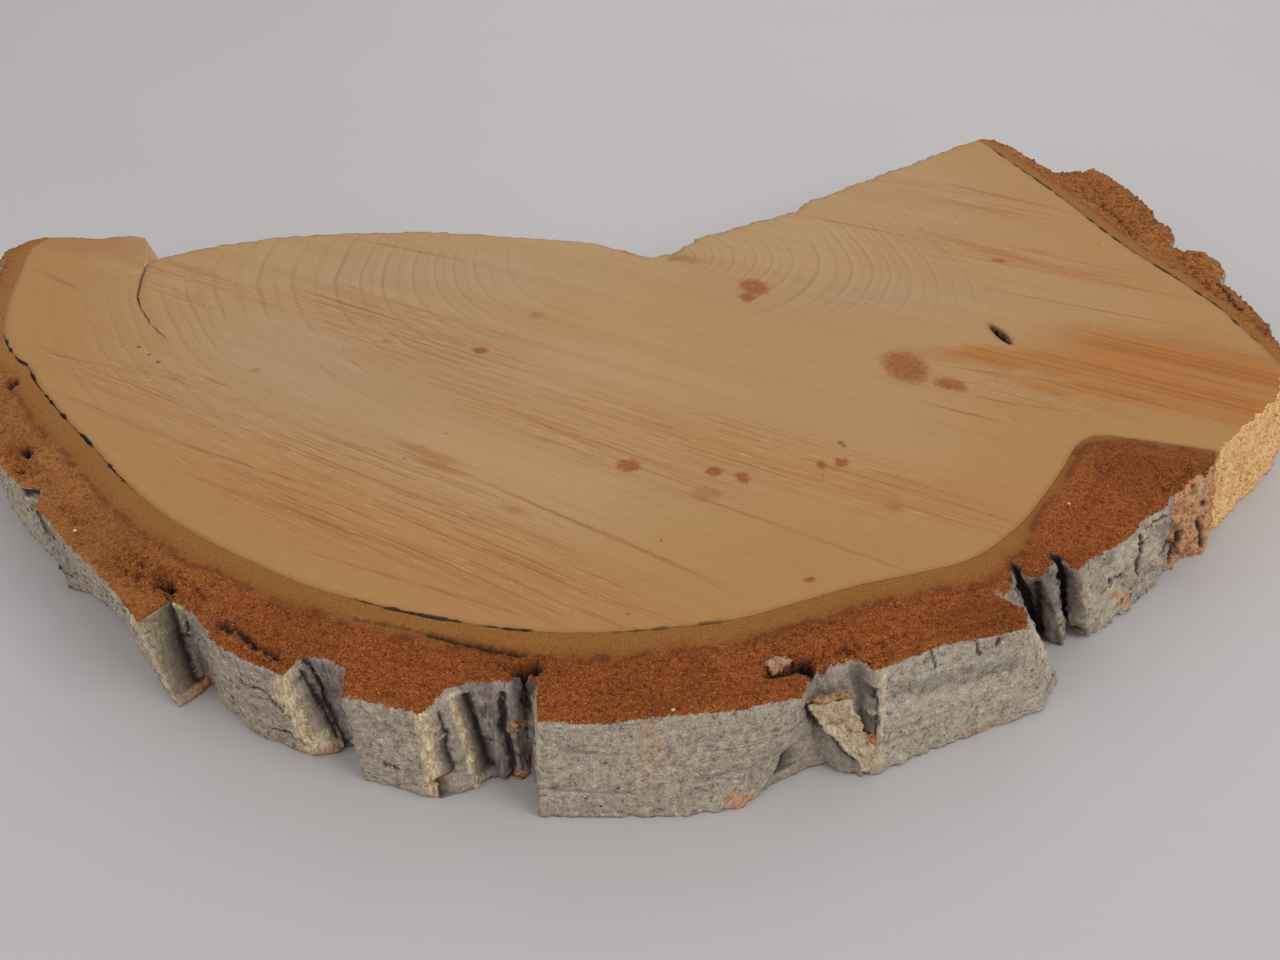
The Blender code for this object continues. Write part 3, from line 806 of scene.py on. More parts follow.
# %% Noises that all the bark's colours share
def bark_noises(r):
    """Grains, clouds and flecks as one record; the bark at the right is coarser than that in front."""
    grain = r.noise(r.place, 1.3, 4.0, 0.7)
    coarse = r.noise(r.place, 0.33, 3.0, 0.6)
    broad = r.noise(r.place, 0.05, 2.0)
    fine = r.noise(r.place, 3.2, 3.0, 0.7)
    flecks = r.noise(r.place, 4.5, 2.0, 0.6)
    east = r.add("SeparateXYZ", "X", {0: r.place})
    north = r.add("SeparateXYZ", "Y", {0: r.place})
    beyond = r.step(north, -70.0, -50.0)
    grain = r.add("Mix", 0, {0: beyond, 2: grain, 3: r.noise(r.place, 0.75, 4.0, 0.7)}, data_type="FLOAT")
    fine = r.add("Mix", 0, {0: beyond, 2: fine, 3: r.noise(r.place, 1.6, 3.0, 0.7)}, data_type="FLOAT")
    from_wood = r.note("from_wood_mm")
    mottle = r.noise(r.place, 0.9, 5.0, 0.75)
    return SimpleNamespace(grain=grain, coarse=coarse, broad=broad, fine=fine, flecks=flecks, east=east,
                           north=north, beyond=beyond, from_wood=from_wood, mottle=mottle)


# %% Inner bark, as granular as rusted iron
def inner_bark(r, n):
    golden = r.either(r.step(n.north, -76.0, -40.0), r.both(r.step(n.east, -60.0, -110.0), 0.85))
    rows = r.add("CombineXYZ", 0, {"X": r.both(n.from_wood, 0.9), "Y": r.both(n.east, 0.03)})
    rust = r.blend(golden, paint(151, 78, 28), paint(172, 112, 58))
    rust_dark = r.blend(golden, paint(105, 48, 13), paint(132, 80, 38))
    rust_pale = r.blend(golden, paint(196, 120, 58), paint(206, 142, 76))
    inner = r.blend(r.step(n.grain, 0.38, 0.58), rust_dark, rust)
    inner = r.blend(r.both(r.step(n.fine, 0.5, 0.66), 0.8), inner, rust_pale)
    inner = r.blend(r.both(r.step(n.broad, 0.38, 0.62), 0.4), inner, rust_dark)
    inner = r.blend(r.both(r.step(r.noise(rows, 1.0, 3.0, 0.6), 0.5, 0.66), 0.4), inner, rust_dark)
    inner = r.blend(r.both(r.step(n.coarse, 0.4, 0.28), 0.5), inner, rust_dark)
    inner = r.coat(inner, (226, 164, 100), r.step(n.flecks, 0.61, 0.71), 0.85)
    inner = r.coat(inner, (244, 214, 190), r.dots(6.0, 0.3, 0.3), 0.8)
    torn = r.blend(r.step(n.fine, 0.4, 0.6), paint(112, 56, 22), paint(186, 112, 54))
    torn = r.coat(torn, (88, 44, 22), r.step(n.coarse, 0.5, 0.36), 0.7)
    inner = r.blend(r.note("crumb"), inner, torn)
    return inner


# %% The growing layer, and the whole sawn top
def growing_layer(r, n, out):
    growing = r.blend(r.step(n.fine, 0.4, 0.62), paint(142, 92, 38), paint(164, 112, 56))
    growing = r.coat(growing, (214, 160, 92), r.step(n.flecks, 0.62, 0.72), 0.6)
    growing = r.coat(growing, (116, 72, 34), r.step(n.grain, 0.45, 0.3), 0.5)
    growing = r.coat(growing, (140, 84, 38), r.step(out, 1.5, 4.5), 0.6)
    return growing


def sawn_bark(r, n):
    """The bark's sawn top, from the growing layer at the wood out to the inner bark."""
    sway = r.math("SUBTRACT", r.noise(r.place, 0.11, 2.0), 0.5)
    narrow = r.step(n.east, 52.0, 68.0)
    out = r.plus(n.from_wood, r.both(r.math("SUBTRACT", n.coarse, 0.5), 2.6))
    out = r.plus(out, r.both(sway, 3.5))
    out = r.plus(out, r.both(r.both(narrow, r.step(n.north, -60.0, -75.0)), 3.4))
    inner, growing = inner_bark(r, n), growing_layer(r, n, out)
    top = r.blend(r.step(out, 2.9, 5.8), growing, inner)
    seam_band = r.both(r.both(r.step(out, 4.0, 4.9), r.step(out, 6.2, 5.1)), r.step(n.coarse, 0.4, 0.55))
    top = r.coat(top, (96, 48, 22), seam_band, 0.55)
    # Painted shade: the holes mask paints the lowest grain of the inner bark near black, as the shadow in its
    # pits
    holes = r.both(r.step(n.grain, 0.34, 0.25), r.step(out, 4.5, 6.0))
    top = r.coat(top, (50, 25, 15), holes, 0.85)
    # Painted shade: the same black line where the seam has opened, the shadow in the gap
    top = r.blend(r.both(r.seam_line(n.from_wood), r.note("seam")), top, paint(38, 25, 20))
    return top


# %% Weathered plates, and the walls of the furrows between them
def weathered_plate(r, n):
    level_lines = r.noise(r.turned(r.place, 0.0, (0.05, 0.05, 1.3)), 1.0, 3.0, 0.6)
    plate = r.blend(r.note("tone"), paint(160, 143, 128), paint(177, 166, 148))
    plate = r.coat(plate, (142, 122, 106), r.step(n.coarse, 0.42, 0.64), 0.45)
    plate = r.coat(plate, (150, 132, 120), r.step(n.broad, 0.4, 0.6), 0.3)
    plate = r.coat(plate, (204, 194, 172), r.step(n.mottle, 0.5, 0.66), 0.85)
    plate = r.coat(plate, (98, 82, 70), r.step(n.mottle, 0.47, 0.34), 0.85)
    plate = r.coat(plate, (222, 214, 196), r.step(n.flecks, 0.57, 0.68), 0.8)
    plate = r.coat(plate, (82, 66, 58), r.step(n.fine, 0.43, 0.32), 0.65)
    plate = r.coat(plate, (104, 88, 76), r.step(level_lines, 0.56, 0.7), 0.4)
    return plate


def furrow_wall(r, n):
    upright = r.noise(r.turned(r.place, 0.0, (1.2, 1.2, 0.12)), 1.0, 4.0, 0.65)
    # Painted shade: the furrow wall's colours are darker than the plates', as the shadow in the furrow
    wall = r.blend(r.step(n.coarse, 0.38, 0.62), paint(132, 117, 112), paint(164, 151, 142))
    wall = r.coat(wall, (80, 66, 64), r.step(upright, 0.46, 0.34), 0.75)
    wall = r.coat(wall, (184, 172, 158), r.step(upright, 0.56, 0.7), 0.6)
    wall = r.coat(wall, (96, 82, 78), r.step(n.mottle, 0.46, 0.3), 0.5)
    return wall


# %% Cream fibre and rusty chips
def cream_fibre(r, n):
    fibre = r.noise(r.turned(r.place, 0.0, (1.9, 1.9, 0.45)), 1.0, 4.0, 0.65)
    cream = r.blend(r.step(fibre, 0.38, 0.62), paint(186, 157, 120), paint(238, 223, 190))
    cream = r.coat(cream, (196, 142, 92), r.step(n.coarse, 0.54, 0.66), 0.45)
    cream = r.coat(cream, (116, 88, 62), r.step(n.fine, 0.4, 0.3), 0.6)
    return cream


def rusty_chip(r, n):
    chip = r.blend(r.step(n.grain, 0.34, 0.56), paint(142, 84, 46), paint(216, 160, 112))
    chip = r.coat(chip, (84, 50, 38), r.step(n.fine, 0.42, 0.32), 0.7)
    chip = r.coat(chip, (236, 206, 178), r.step(n.flecks, 0.6, 0.7), 0.8)
    return chip


# %% The bark's finish
def bark_finish():
    r = Recipe("bark")
    n = bark_noises(r)
    # Recess blends the plates into the furrow wall, which is painted darker as shadow
    plate = r.blend(r.note("recess"), weathered_plate(r, n), furrow_wall(r, n))
    plate = r.blend(r.note("cream"), plate, cream_fibre(r, n))
    plate = r.blend(r.note("chip"), plate, rusty_chip(r, n))
    top = sawn_bark(r, n)
    rim = r.plus(r.note("below_rim_mm"), r.both(r.math("SUBTRACT", n.grain, 0.5), 0.9))
    outer_line = r.both(n.beyond, r.both(r.step(rim, -1.1, -0.5), r.step(n.coarse, 0.36, 0.5)))
    top = r.coat(top, (84, 48, 50), outer_line, 0.6)
    skin = r.blend(r.step(rim, -0.2, 0.15), top, plate)
    # Pale bark where the pale note says: partly its own pale colour, partly a painted highlight on ridges and
    # sheet edges
    pale = r.blend(r.step(n.fine, 0.4, 0.6), paint(178, 162, 142), paint(218, 208, 190))
    skin = r.blend(r.note("pale"), skin, pale)
    # Painted shade: dark grey-purple where the shade note marks a recess, notch or a plate's underside
    skin = r.blend(r.note("shade"), skin, paint(76, 64, 62))
    # Painted shade: near black in the depths of cracks, clefts and holes, where the dark note says
    black = r.blend(n.coarse, paint(26, 18, 20), paint(56, 42, 44))
    skin = r.blend(r.note("dark"), skin, black)
    height = r.plus(r.both(n.grain, 0.7), r.both(n.fine, 0.4))
    return r.finish(skin, height, 0.6, r.between(n.coarse, 0.75, 0.95), 0.2)


BARK = bark_finish()
print(BARK.name, "has", len(BARK.node_tree.nodes), "nodes")

# %% [markdown]
# ## The sawn wood as a piece
#
# The ring distance is worked out here: near the pith rings are round, and towards the bark they take the
# log's own lopsided shape, so the distance is scaled by how far the bark lies in that direction, and the more
# so the further out a point is.

# %% Ring distance
MEAN_RADIUS = 138.0
ROUND_UNTIL, SHAPED_FROM = 0.35, 0.78
SMOOTHED_TURNS = np.linspace(-0.25, 0.25, 11)
SNAPPED_CORNER = [(118, -86), (130, -72)]
EDGE_STEP = 4.0
EDGE = np.vstack([curve(WOOD_FRONT, EDGE_STEP)[:, :2], SNAPPED_CORNER, curve(WOOD_RIGHT, EDGE_STEP)[:, :2]])


def bearings(places):
    """Bearing of each place from the pith, in radians, rising from the left corner round the front."""
    angle = np.arctan2(places[:, 1], places[:, 0])
    return np.where(angle > math.pi * 0.75, angle - 2 * math.pi, angle)


EDGE = EDGE[np.argsort(bearings(EDGE))]


def ring_distance(places):
    """How far out a place is, in mm, counted along the rings' own shape."""
    radius = np.hypot(places[:, 0], places[:, 1])
    bearing, to_edge = bearings(places), np.hypot(*EDGE.T)
    reaches = [np.interp(bearing + turn, bearings(EDGE), to_edge) for turn in SMOOTHED_TURNS]
    edge = np.mean(reaches, axis=0)
    return radius * (1 + (MEAN_RADIUS / edge - 1) * ease(radius / edge, ROUND_UNTIL, SHAPED_FROM))


print("ring distance at the check:", ring_distance(np.array([(-129.0, -14.0, THICKNESS)])).round(1), "mm")


# %% Outline of the wood
def gathered(stretches):
    """Joins stretches of outline rows; gives the rows and which stretch each came from."""
    rows = np.vstack(stretches)
    which = np.concatenate([np.full(len(s), k) for k, s in enumerate(stretches)])
    return rows, which


BREAK_STEP, CHECK_STEP = 0.8, 0.6
FRONT_EDGE = curve(WOOD_FRONT, HIDDEN_STEP)
RIGHT_EDGE = curve(WOOD_RIGHT, HIDDEN_STEP)
wood_rows, wood_part = gathered([
    FRONT_EDGE, stretch(BROKEN_END, STEP), RIGHT_EDGE, stretch(BREAK, BREAK_STEP),
    stretch(RING_CHECK, CHECK_STEP), stretch(TAB_BACK, BREAK_STEP),
])
HIDDEN, END, BACK = {0, 2}, {1}, {3, 5}
print("outline of the wood:", len(wood_rows), "columns")


# %% [markdown]
# The seam between wood and bark has sprung open in places: the bark stands back a little there, and the gap's
# shadow is painted as a broken black line. Its stretches are named here, and the wood and the bark both read
# them, so that the line falls on the same spots.

# %% Where the seam has opened: a line along it, and how much of it is painted black as shadow
SEAMS = [
    ([(-147, -47, 20), (-134, -62.5, 20), (-112, -87.5, 20)], 1.0),
    ([(-107, -93, 20), (-99, -102, 20)], 0.8),
    ([(-48, -134.8, 20), (-36, -138.5, 20), (-24, -140.8, 20)], 0.9),
    ([(-8, -141, 20), (4, -139.5, 20)], 0.6),
    ([(107, 84, 20), (113, 56, 20), (118.5, 24, 20), (122.5, 2, 20), (130.8, -30, 20), (131.3, -44, 20)],
     0.95),
]


def seam_share(places):
    """How black the seam is beside each place."""
    strongest = np.zeros(len(places))
    for line, amount in SEAMS:
        strongest = np.maximum(strongest, amount * ease(away_from(places, line), 3.5, 2.0))
    return strongest


# %% [markdown]
# The broken end is a fuzz of torn fibres: lumps a few millimetres wide with finer ones on them. The long
# break at the back split along the grain, so its relief is drawn out upwards. Both are pushed in or out
# along the outline's normal.

# %% Relief of the broken faces
def unleaned(places):
    """Places moved back by the log's lean, so that a distance in plan can be taken at any height."""
    lean = (1 - places[..., 2:] / THICKNESS) * np.array(LEAN)
    return np.concatenate([places[..., :2] - lean, places[..., 2:]], axis=-1)


def wood_push(side, part):
    """How far the broken faces stand out; the hidden and the sawn parts stay as drawn."""
    push = np.zeros(side.shape[:2])
    end, back = np.isin(part, list(END)), np.isin(part, list(BACK))
    ends, backs = side[:, end].reshape(-1, 3), side[:, back].reshape(-1, 3)
    push[:, end] = (0.6 * rumple(ends, (5.0, 5.0, 6.0), 3.0, 2, 0.6)
                    + 0.5 * rumple(ends, (1.0, 1.0, 2.2), 9.0, 3, 0.6)).reshape(len(side), -1)
    push[:, back] = (0.9 * rumple(backs, (6.0, 6.0, 50.0), 5.0, 3, 0.6)
                     + 0.35 * rumple(backs, (1.4, 1.4, 12.0), 6.0, 2)).reshape(len(side), -1)
    return push


# %% The slit's own finer points
(slit_x, slit_y), slit_half, slit_width, slit_angle = SLIT
turn = math.radians(slit_angle)
turned_axes = np.array([[math.cos(turn), math.sin(turn)], [-math.sin(turn), math.cos(turn)]])
slit_grid = np.array([(a, b) for a in np.arange(-6, 6.1, 0.4) for b in np.arange(-2.4, 2.5, 0.3)])
slit_points = slit_grid @ turned_axes + (slit_x, slit_y)

# %% The wood's skin
WOOD_TOP_SPACING, WOOD_BASE_SPACING = 1.5, 3.0
wood_side = side_grid(wood_rows, LEVELS)
wood_side = pushed(wood_side, wood_rows, wood_push(wood_side, wood_part))
wood_shape = slab(wood_side, WOOD_TOP_SPACING, WOOD_BASE_SPACING, slit_points)
wood_face_part = np.where(wood_shape["column"] >= 0, wood_part[wood_shape["column"]], -1)
offset = (wood_shape["places"][:, :2] - (slit_x, slit_y)) @ turned_axes.T
slit_reach = np.hypot(offset[:, 0] / slit_half, offset[:, 1] / slit_width)
slit_sink = np.where(wood_shape["level"] == LEVELS, SLIT_DEPTH * ease(slit_reach, 1.1, 0.55), 0.0)
wood_shape["places"][:, 2] -= slit_sink
bark_line = search_tree(np.vstack([curve(edge, MEASURING_STEP)[:, :2] for edge in (WOOD_FRONT, WOOD_RIGHT)]))


def wood_slots(shape, part):
    """Sawn faces get the first material, the broken end the second, and the long break the third."""
    slots = []
    for face in shape["faces"]:
        parts = {int(part[i]) for i in face}
        if len(face) == 3 or parts & HIDDEN:
            slots.append(0)
        else:
            slots.append(1 if parts & END else 2)
    return slots


wood_unleaned = unleaned(wood_shape["places"])
within_side = (wood_shape["level"] > 0) & (wood_shape["level"] < LEVELS - 2)
wood_fray = (np.isin(wood_face_part, list(END)) & within_side).astype(float)
wood = make_object(
    "sawn_wood", wood_shape,
    {"ring_mm": ring_distance(wood_unleaned), "to_bark_mm": gaps_to(bark_line, wood_unleaned),
     "seam": seam_share(wood_unleaned), "fray": wood_fray},
    [SAWN_WOOD, STRAW_END, SPLIT_FACE], wood_slots(wood_shape, wood_face_part),
)

# %% [markdown]
# ## The bark as two pieces
#
# Cracks, cream fibres and rusty chips are each a short line in space, read from the real thing, with
# a reach in millimetres. A crack also sinks the surface. This is how a sculptor works: the plate first, then
# the few marks that make it this plate.

# %% Cracks and dark recesses on the bark's side, sunk and painted black as shadow: points, reach and depth
CRACKS = [
    ([(-81.2, -132, 19.6), (-80.9, -132.7, 14.7), (-80.8, -133.1, 11.1), (-80.3, -133.8, 7.6),
      (-80.3, -134.5, 3)], 0.5, 0.6),
    ([(-78.2, -133.4, 18.9), (-79.2, -132.7, 14.4), (-79.6, -132.8, 11.4)], 0.35, 0.3),
    ([(-81.8, -136.7, 3.6), (-80.5, -134.6, 2.7), (-79.3, -133.3, 2.3)], 0.4, 0.2),
    ([(-67.2, -144.1, 12.9), (-63.6, -146.2, 13.5), (-61.4, -147.1, 10.6), (-59.4, -147.9, 8.4)], 0.35, 0.25),
    ([(-63, -145.8, 3.7), (-60.3, -147.3, 4.2), (-58.5, -147.9, 3)], 0.35, 0.25),
    ([(-57.5, -144.8, 19.4), (-56.1, -145.4, 17.3), (-55, -145.7, 14.1), (-53.9, -146.6, 9.5),
      (-53.1, -146.2, 5), (-52.4, -146.6, 0.6)], 0.45, 0.45),
    ([(-56.8, -147, 18.8), (-55.7, -147.1, 15.1), (-54.8, -147.2, 10.7), (-54, -146.9, 6.3),
      (-53.5, -147, 2.8)], 0.4, 0.35),
    ([(-44.4, -154.3, 5.8), (-42.2, -154.9, 5.2)], 0.35, 0.3),
    ([(-35.1, -154.7, 17.5), (-34.3, -154.6, 13), (-35, -155.7, 8.6), (-34.8, -156.1, 0.4)], 0.35, 0.3),
    ([(-32.4, -151.8, 17.6), (-31.3, -152.2, 13.2), (-30.9, -152.5, 10.7), (-30.6, -152.9, 7.1),
      (-29.8, -153, 2)], 0.55, 0.6),
    ([(-26.2, -151.5, 17.9), (-26.3, -151.6, 13.6), (-26.2, -152.5, 10.1), (-25.6, -152.3, 8),
      (-25.3, -152.2, 4), (-25.6, -152.6, 0.6)], 0.6, 0.7),
    ([(16.5, -153.5, 7.4), (15.7, -154, 5.6), (16.5, -153.1, 2.9)], 0.4, 0.4),
    ([(38.2, -144.2, 19.8), (39.3, -144.4, 16.4)], 0.22, 0.15),
    ([(45.6, -141.6, 19.6), (46.4, -141.9, 16.7)], 0.24, 0.2),
    ([(49.5, -140.9, 19.6), (49.1, -141.1, 18.2)], 0.26, 0.2),
    ([(28.9, -148.4, 16), (29.4, -149.4, 11), (30, -150.6, 7.5)], 0.45, 0.5),
    ([(18.6, -152, 16), (20.6, -151, 11.4), (23.8, -151.2, 7.4), (27.2, -152.2, 3)], 0.5, 0.5),
    ([(56.3, -124.9, 19.8), (58.6, -123.8, 14.4), (61.4, -122.4, 8), (64.4, -120.9, 1)], 1.2, 0.6),
    ([(59.9, -126.2, 18), (61.6, -124.6, 13.6), (63.7, -122.4, 7.4), (65.2, -121.8, 1)], 0.7, 0.4),
    ([(63.8, -122.3, 19.8), (66.1, -120.8, 14.4), (68.8, -119.2, 7.4), (70.2, -118.4, 3)], 1.1, 0.6),
    ([(57.4, -125.4, 17), (57, -126.7, 14.6)], 0.6, 0.5),
    ([(71.7, -119.6, 1.2), (72.2, -120.6, 2)], 0.6, 0.4),
    ([(74.4, -120.2, 10.4), (74.9, -119.6, 11.4), (76.2, -118.4, 11.4), (79.6, -115.6, 9.9)], 0.5, 0.5),
    ([(81.9, -112.7, 17.4), (82.9, -112.4, 12.5), (83.2, -112.6, 9.6), (84.4, -112.3, 7.6)], 0.6, 0.5),
    ([(86.4, -107.4, 19), (84, -110.4, 17), (83.2, -111.8, 14.6)], 0.3, 0.3),
    ([(88.6, -108.6, 9.6), (89.3, -107, 9.1), (92.4, -104.1, 7.7), (95, -101.6, 6.6)], 0.4, 0.4),
    ([(92.4, -105, 0.8), (94.6, -102.6, 1.8), (96.4, -100.4, 3.6), (96.4, -100.6, 6.6)], 1.5, 1),
    ([(100.5, -97.7, 9), (102.1, -96.8, 4.2), (103, -96.8, 2.2)], 0.7, 0.7),
    ([(95.6, -101.4, 8), (94.6, -102.6, 5), (93.8, -103.6, 2.6)], 1.1, 0.7),
    ([(97, -98.6, 18), (96.6, -99.4, 15.4)], 0.45, 0.4),
    ([(100.6, -97.6, 13.4), (100.8, -96.9, 12)], 0.45, 0.4),
    ([(99.6, -92.4, 19.6), (102.1, -92.9, 19.4), (102.6, -94, 16.5)], 0.4, 0.4),
    ([(-118.4, -101.1, 18), (-116.5, -101.6, 19.2)], 0.8, 0.5),
    ([(-114, -108, 19.1), (-113.8, -107.9, 14)], 0.6, 0.5),
    ([(-138, -80, 18), (-137, -82, 10), (-138, -84, 4)], 0.4, 0.5),
    ([(-156, -50, 16), (-154, -54, 9)], 0.4, 0.4),
    ([(-168, -20, 17), (-167, -23, 9), (-166, -22, 3)], 0.4, 0.5),
    ([(139, -40, 18), (141, -38, 9), (142, -39, 2)], 0.4, 0.5),
    ([(143, -2, 17), (145, 0, 10), (146, 2, 3)], 0.5, 0.6),
    ([(140, 24, 19), (142, 26, 12), (142, 29, 5)], 0.4, 0.5),
    ([(140, 44, 14), (142, 47, 11), (142, 50, 10)], 0.35, 0.4),
    ([(137, 60, 19), (139, 62, 9), (140, 61, 1)], 0.5, 0.6),
    ([(118, 80, 18), (120, 83, 9), (120, 82, 3)], 0.4, 0.5),
]

# %% Cracks that run across the bark's sawn top, sunk and painted dark as shadow
TOP_CRACKS = [
    ([(-50.5, -137.9, 20), (-43.5, -139.7, 20), (-37.9, -141.5, 20)], 0.28, 0.35),
    ([(-37.9, -141.5, 20), (-29.9, -144.2, 20), (-23.3, -145.7, 20)], 0.45, 0.8),
    ([(-71, -138.2, 20), (-67.1, -140.6, 20), (-63.6, -143.5, 20), (-60.2, -145.6, 20)], 0.5, 0.9),
    ([(124, 44, 20), (128, 30, 20), (127, 16, 20)], 0.4, 0.5), ([(136, -30, 20), (137.5, -14, 20)], 0.5, 0.7),
]

# %% Cream fibre, rusty chips and crumbly zones: points, reach and amount
CREAM = [
    ([(-83.2, -134.4, 19), (-82.8, -137, 10), (-82.6, -137.8, 2)], 2.6, 0.55),
    ([(-81.9, -133.6, 19.6), (-82.6, -134.6, 15.5)], 1.6, 0.8),
    ([(-57.6, -148.4, 17.8), (-57, -148.2, 10), (-55.6, -147.6, 2)], 2.2, 1),
    ([(-59.8, -148.9, 16.4), (-58.8, -149, 9), (-57.4, -148.8, 2)], 2, 0.85),
    ([(-36.8, -155.8, 19.3), (-36.2, -156, 14), (-36.6, -156.6, 6.7), (-37.1, -156.5, 1.5)], 1.7, 0.95),
    ([(-33.1, -152.2, 18.6), (-32, -152.3, 14.4), (-31.5, -152.8, 11.1), (-31.2, -153.2, 7.4),
      (-30.8, -153.5, 3.8), (-30.2, -153.9, 0.4)], 0.7, 1),
    ([(-20.8, -154.5, 19), (-21.6, -154.5, 6)], 1.1, 0.5),
    ([(29.9, -147.6, 19), (30.4, -148.6, 16.4), (30.8, -149.5, 10.7), (30.5, -150.4, 6.6)], 0.6, 0.7),
    ([(30.5, -151, 4), (31.5, -151.5, 2)], 1.5, 0.4),
    ([(57, -135.9, 17.4), (58.6, -136, 12.5), (62.5, -134, 5)], 0.8, 0.5),
    ([(66.3, -124.4, 7.9), (70.7, -119.6, 2.8)], 1.4, 0.4),
    ([(68.5, -123.6, 13), (71.6, -121.6, 9.5)], 1.2, 0.5),
    ([(76.5, -117.8, 18), (74.7, -119.5, 9.6), (78.6, -117.2, 7.3)], 1.2, 0.5),
    ([(84.9, -109.2, 19), (83.1, -111.6, 16.6), (83.8, -111.8, 13)], 0.9, 0.5),
    ([(86, -110.6, 11), (89.6, -107.8, 7.5)], 0.8, 0.5),
    ([(138, 8, 18), (140, 10, 9), (140, 9, 2)], 1.6, 0.6),
    ([(137, 64, 17), (139, 66, 6)], 1.6, 0.6), ([(140, -14, 12), (142, -12, 3)], 1.2, 0.5),
]
CHIPS = [
    ([(-24.5, -151.6, 11.8), (-23.5, -150.7, 10.7)], 1.2, 0.9),
    ([(-24.9, -152.8, 0.6), (-23, -151.5, 0.6)], 1.4, 0.9),
    ([(7.6, -158.4, 2.2), (10.8, -157.4, 0.8)], 1.1, 0.8),
    ([(46.3, -144.3, 0.9), (51.3, -142.4, 0.7)], 0.7, 0.6),
    ([(-79, -134, 1.2), (-77.2, -133.4, 1.2)], 1.5, 0.9), ([(-59.5, -148.2, 0.6), (-56, -148, 0.6)], 1, 0.8),
    ([(78.6, -117.6, 7.4), (80.9, -115.5, 4.9), (82.3, -114.7, 2.8)], 1.3, 0.75),
    ([(52.7, -131, 19.3), (53.5, -133.2, 19)], 1.2, 0.7),
    ([(-4.8, -158.2, 18.9), (-3.6, -158.6, 12)], 1.8, 0.22),
    ([(-4.8, -158.8, 12), (-5.7, -159.7, 2.3)], 1.6, 0.1),
    ([(-48.9, -148.2, 18.8), (-48.9, -150, 15.5)], 1.2, 0.4),
]
# Painted shade on the bark's side, darkening without relief: in recesses, notches and under leaning plates,
# and a darker band along the pale plate; points, reach and amount
PAINTED_SHADES = [
    ([(32.6, -147.6, 15), (38, -145.4, 13.2), (42.6, -143.7, 13.3), (52.7, -140.2, 12.9)], 1.5, 0.3),
    ([(-20.5, -158.8, 5.8), (-7, -159, 5.6)], 0.4, 0.35),
    ([(26.9, -146.1, 18), (27.9, -147.6, 13.7), (28.9, -149.8, 9.4)], 1.5, 0.5),
    ([(28.2, -148.8, 11), (29, -150, 7)], 1.5, 0.7),
    ([(-31, -152, 18), (-29.6, -152.3, 10), (-28.6, -153, 2)], 0.9, 0.4),
    ([(-24.5, -149.6, 18.8), (-22.9, -149, 15), (-21, -150.6, 18.8)], 1.5, 0.8),
    ([(60.6, -126.4, 19), (62, -124.8, 12), (64.4, -122.4, 4)], 2.3, 0.5),
    ([(66.4, -123, 17), (67.6, -121.4, 11), (67, -121.6, 5)], 2.2, 0.5),
    ([(88.4, -106.8, 17.6), (90.6, -106, 12.4), (90.4, -107, 8.6)], 2.4, 0.35),
    ([(93.4, -103.4, 12), (96.4, -100, 6)], 1, 0.6), ([(82.4, -112.4, 16), (83.4, -112.4, 9)], 1.1, 0.5),
]
# Pale marks: partly pale weathered bark, partly a painted highlight on ridges and the edges of thin sheets;
# points, reach and amount
PALES_AND_HIGHLIGHTS = [
    ([(32.5, -148.3, 11.4), (43.7, -144, 9.6), (53.4, -140.3, 9.2)], 0.8, 0.4),
    ([(-21, -156, 19), (-20.6, -158, 10)], 0.8, 0.4), ([(99.1, -97.8, 18), (98.8, -98.2, 16.8)], 0.6, 0.9),
    ([(98.2, -98.8, 16), (97.4, -99, 15)], 0.3, 0.8), ([(72, -122, 11), (75.5, -119.6, 6)], 1.2, 0.3),
    ([(74.6, -120, 8), (77.4, -118, 12), (80.6, -115.2, 15.6)], 2.6, 0.6),
    ([(76.6, -118.6, 3), (80, -116, 6)], 1.8, 0.45), ([(86, -110.6, 13), (88.6, -108.4, 10)], 1.6, 0.35),
    ([(87.5, -106.5, 19.1), (84.9, -109.5, 18), (84, -111.2, 15.5), (82.9, -112.8, 14.5)], 0.3, 0.9),
    ([(81.2, -113.4, 18.9), (81.7, -113.2, 16.1), (81.3, -114.3, 14.4)], 0.3, 0.8),
    ([(91.6, -105, 13.6), (90, -106.4, 11.4)], 0.5, 0.7),
    ([(87.6, -108.8, 9.4), (90.4, -106.6, 6)], 0.5, 0.7),
    ([(77.8, -117.9, 6.5), (77.1, -118.8, 4.6), (77.9, -118.1, 0.8)], 0.4, 0.7),
    ([(58.4, -135.6, 14), (62.2, -132.4, 4)], 0.5, 0.5), ([(67, -123.4, 15), (67.3, -122.8, 9)], 0.35, 0.7),
    ([(52, -131.4, 19.4), (52.6, -132, 18.6)], 1, 0.4),
]
CRUMBLY = [
    ([(-140, -76, 20), (-133, -84, 20)], 2.4, 0.8), ([(-126, -90, 20), (-120, -97, 20)], 2.6, 0.8),
    ([(-92, -123, 20), (-84, -127.5, 20), (-77, -133, 20)], 3, 1),
    ([(-108, -108, 20), (-104, -112, 20)], 1.6, 0.6),
    ([(19, -147.2, 20), (24, -146, 20), (30, -144.6, 20)], 2.8, 1),
    ([(50, -138, 20), (54.5, -130.5, 20), (58, -126, 20)], 1.6, 0.7),
    ([(91, -102, 20), (101, -94.5, 20)], 2.4, 0.9), ([(124, 60, 20), (132, 40, 20), (132, 16, 20)], 9, 0.5),
    ([(136, 2, 20), (133, -20, 20), (136, -44, 20)], 4, 0.6),
    ([(-72, -139, 20), (-60, -146.5, 20)], 1.6, 0.8),
    ([(-50, -152, 20), (-36, -155, 20)], 1, 0.4), ([(-170, -6, 20), (-160, -40, 20)], 3, 0.7),
]

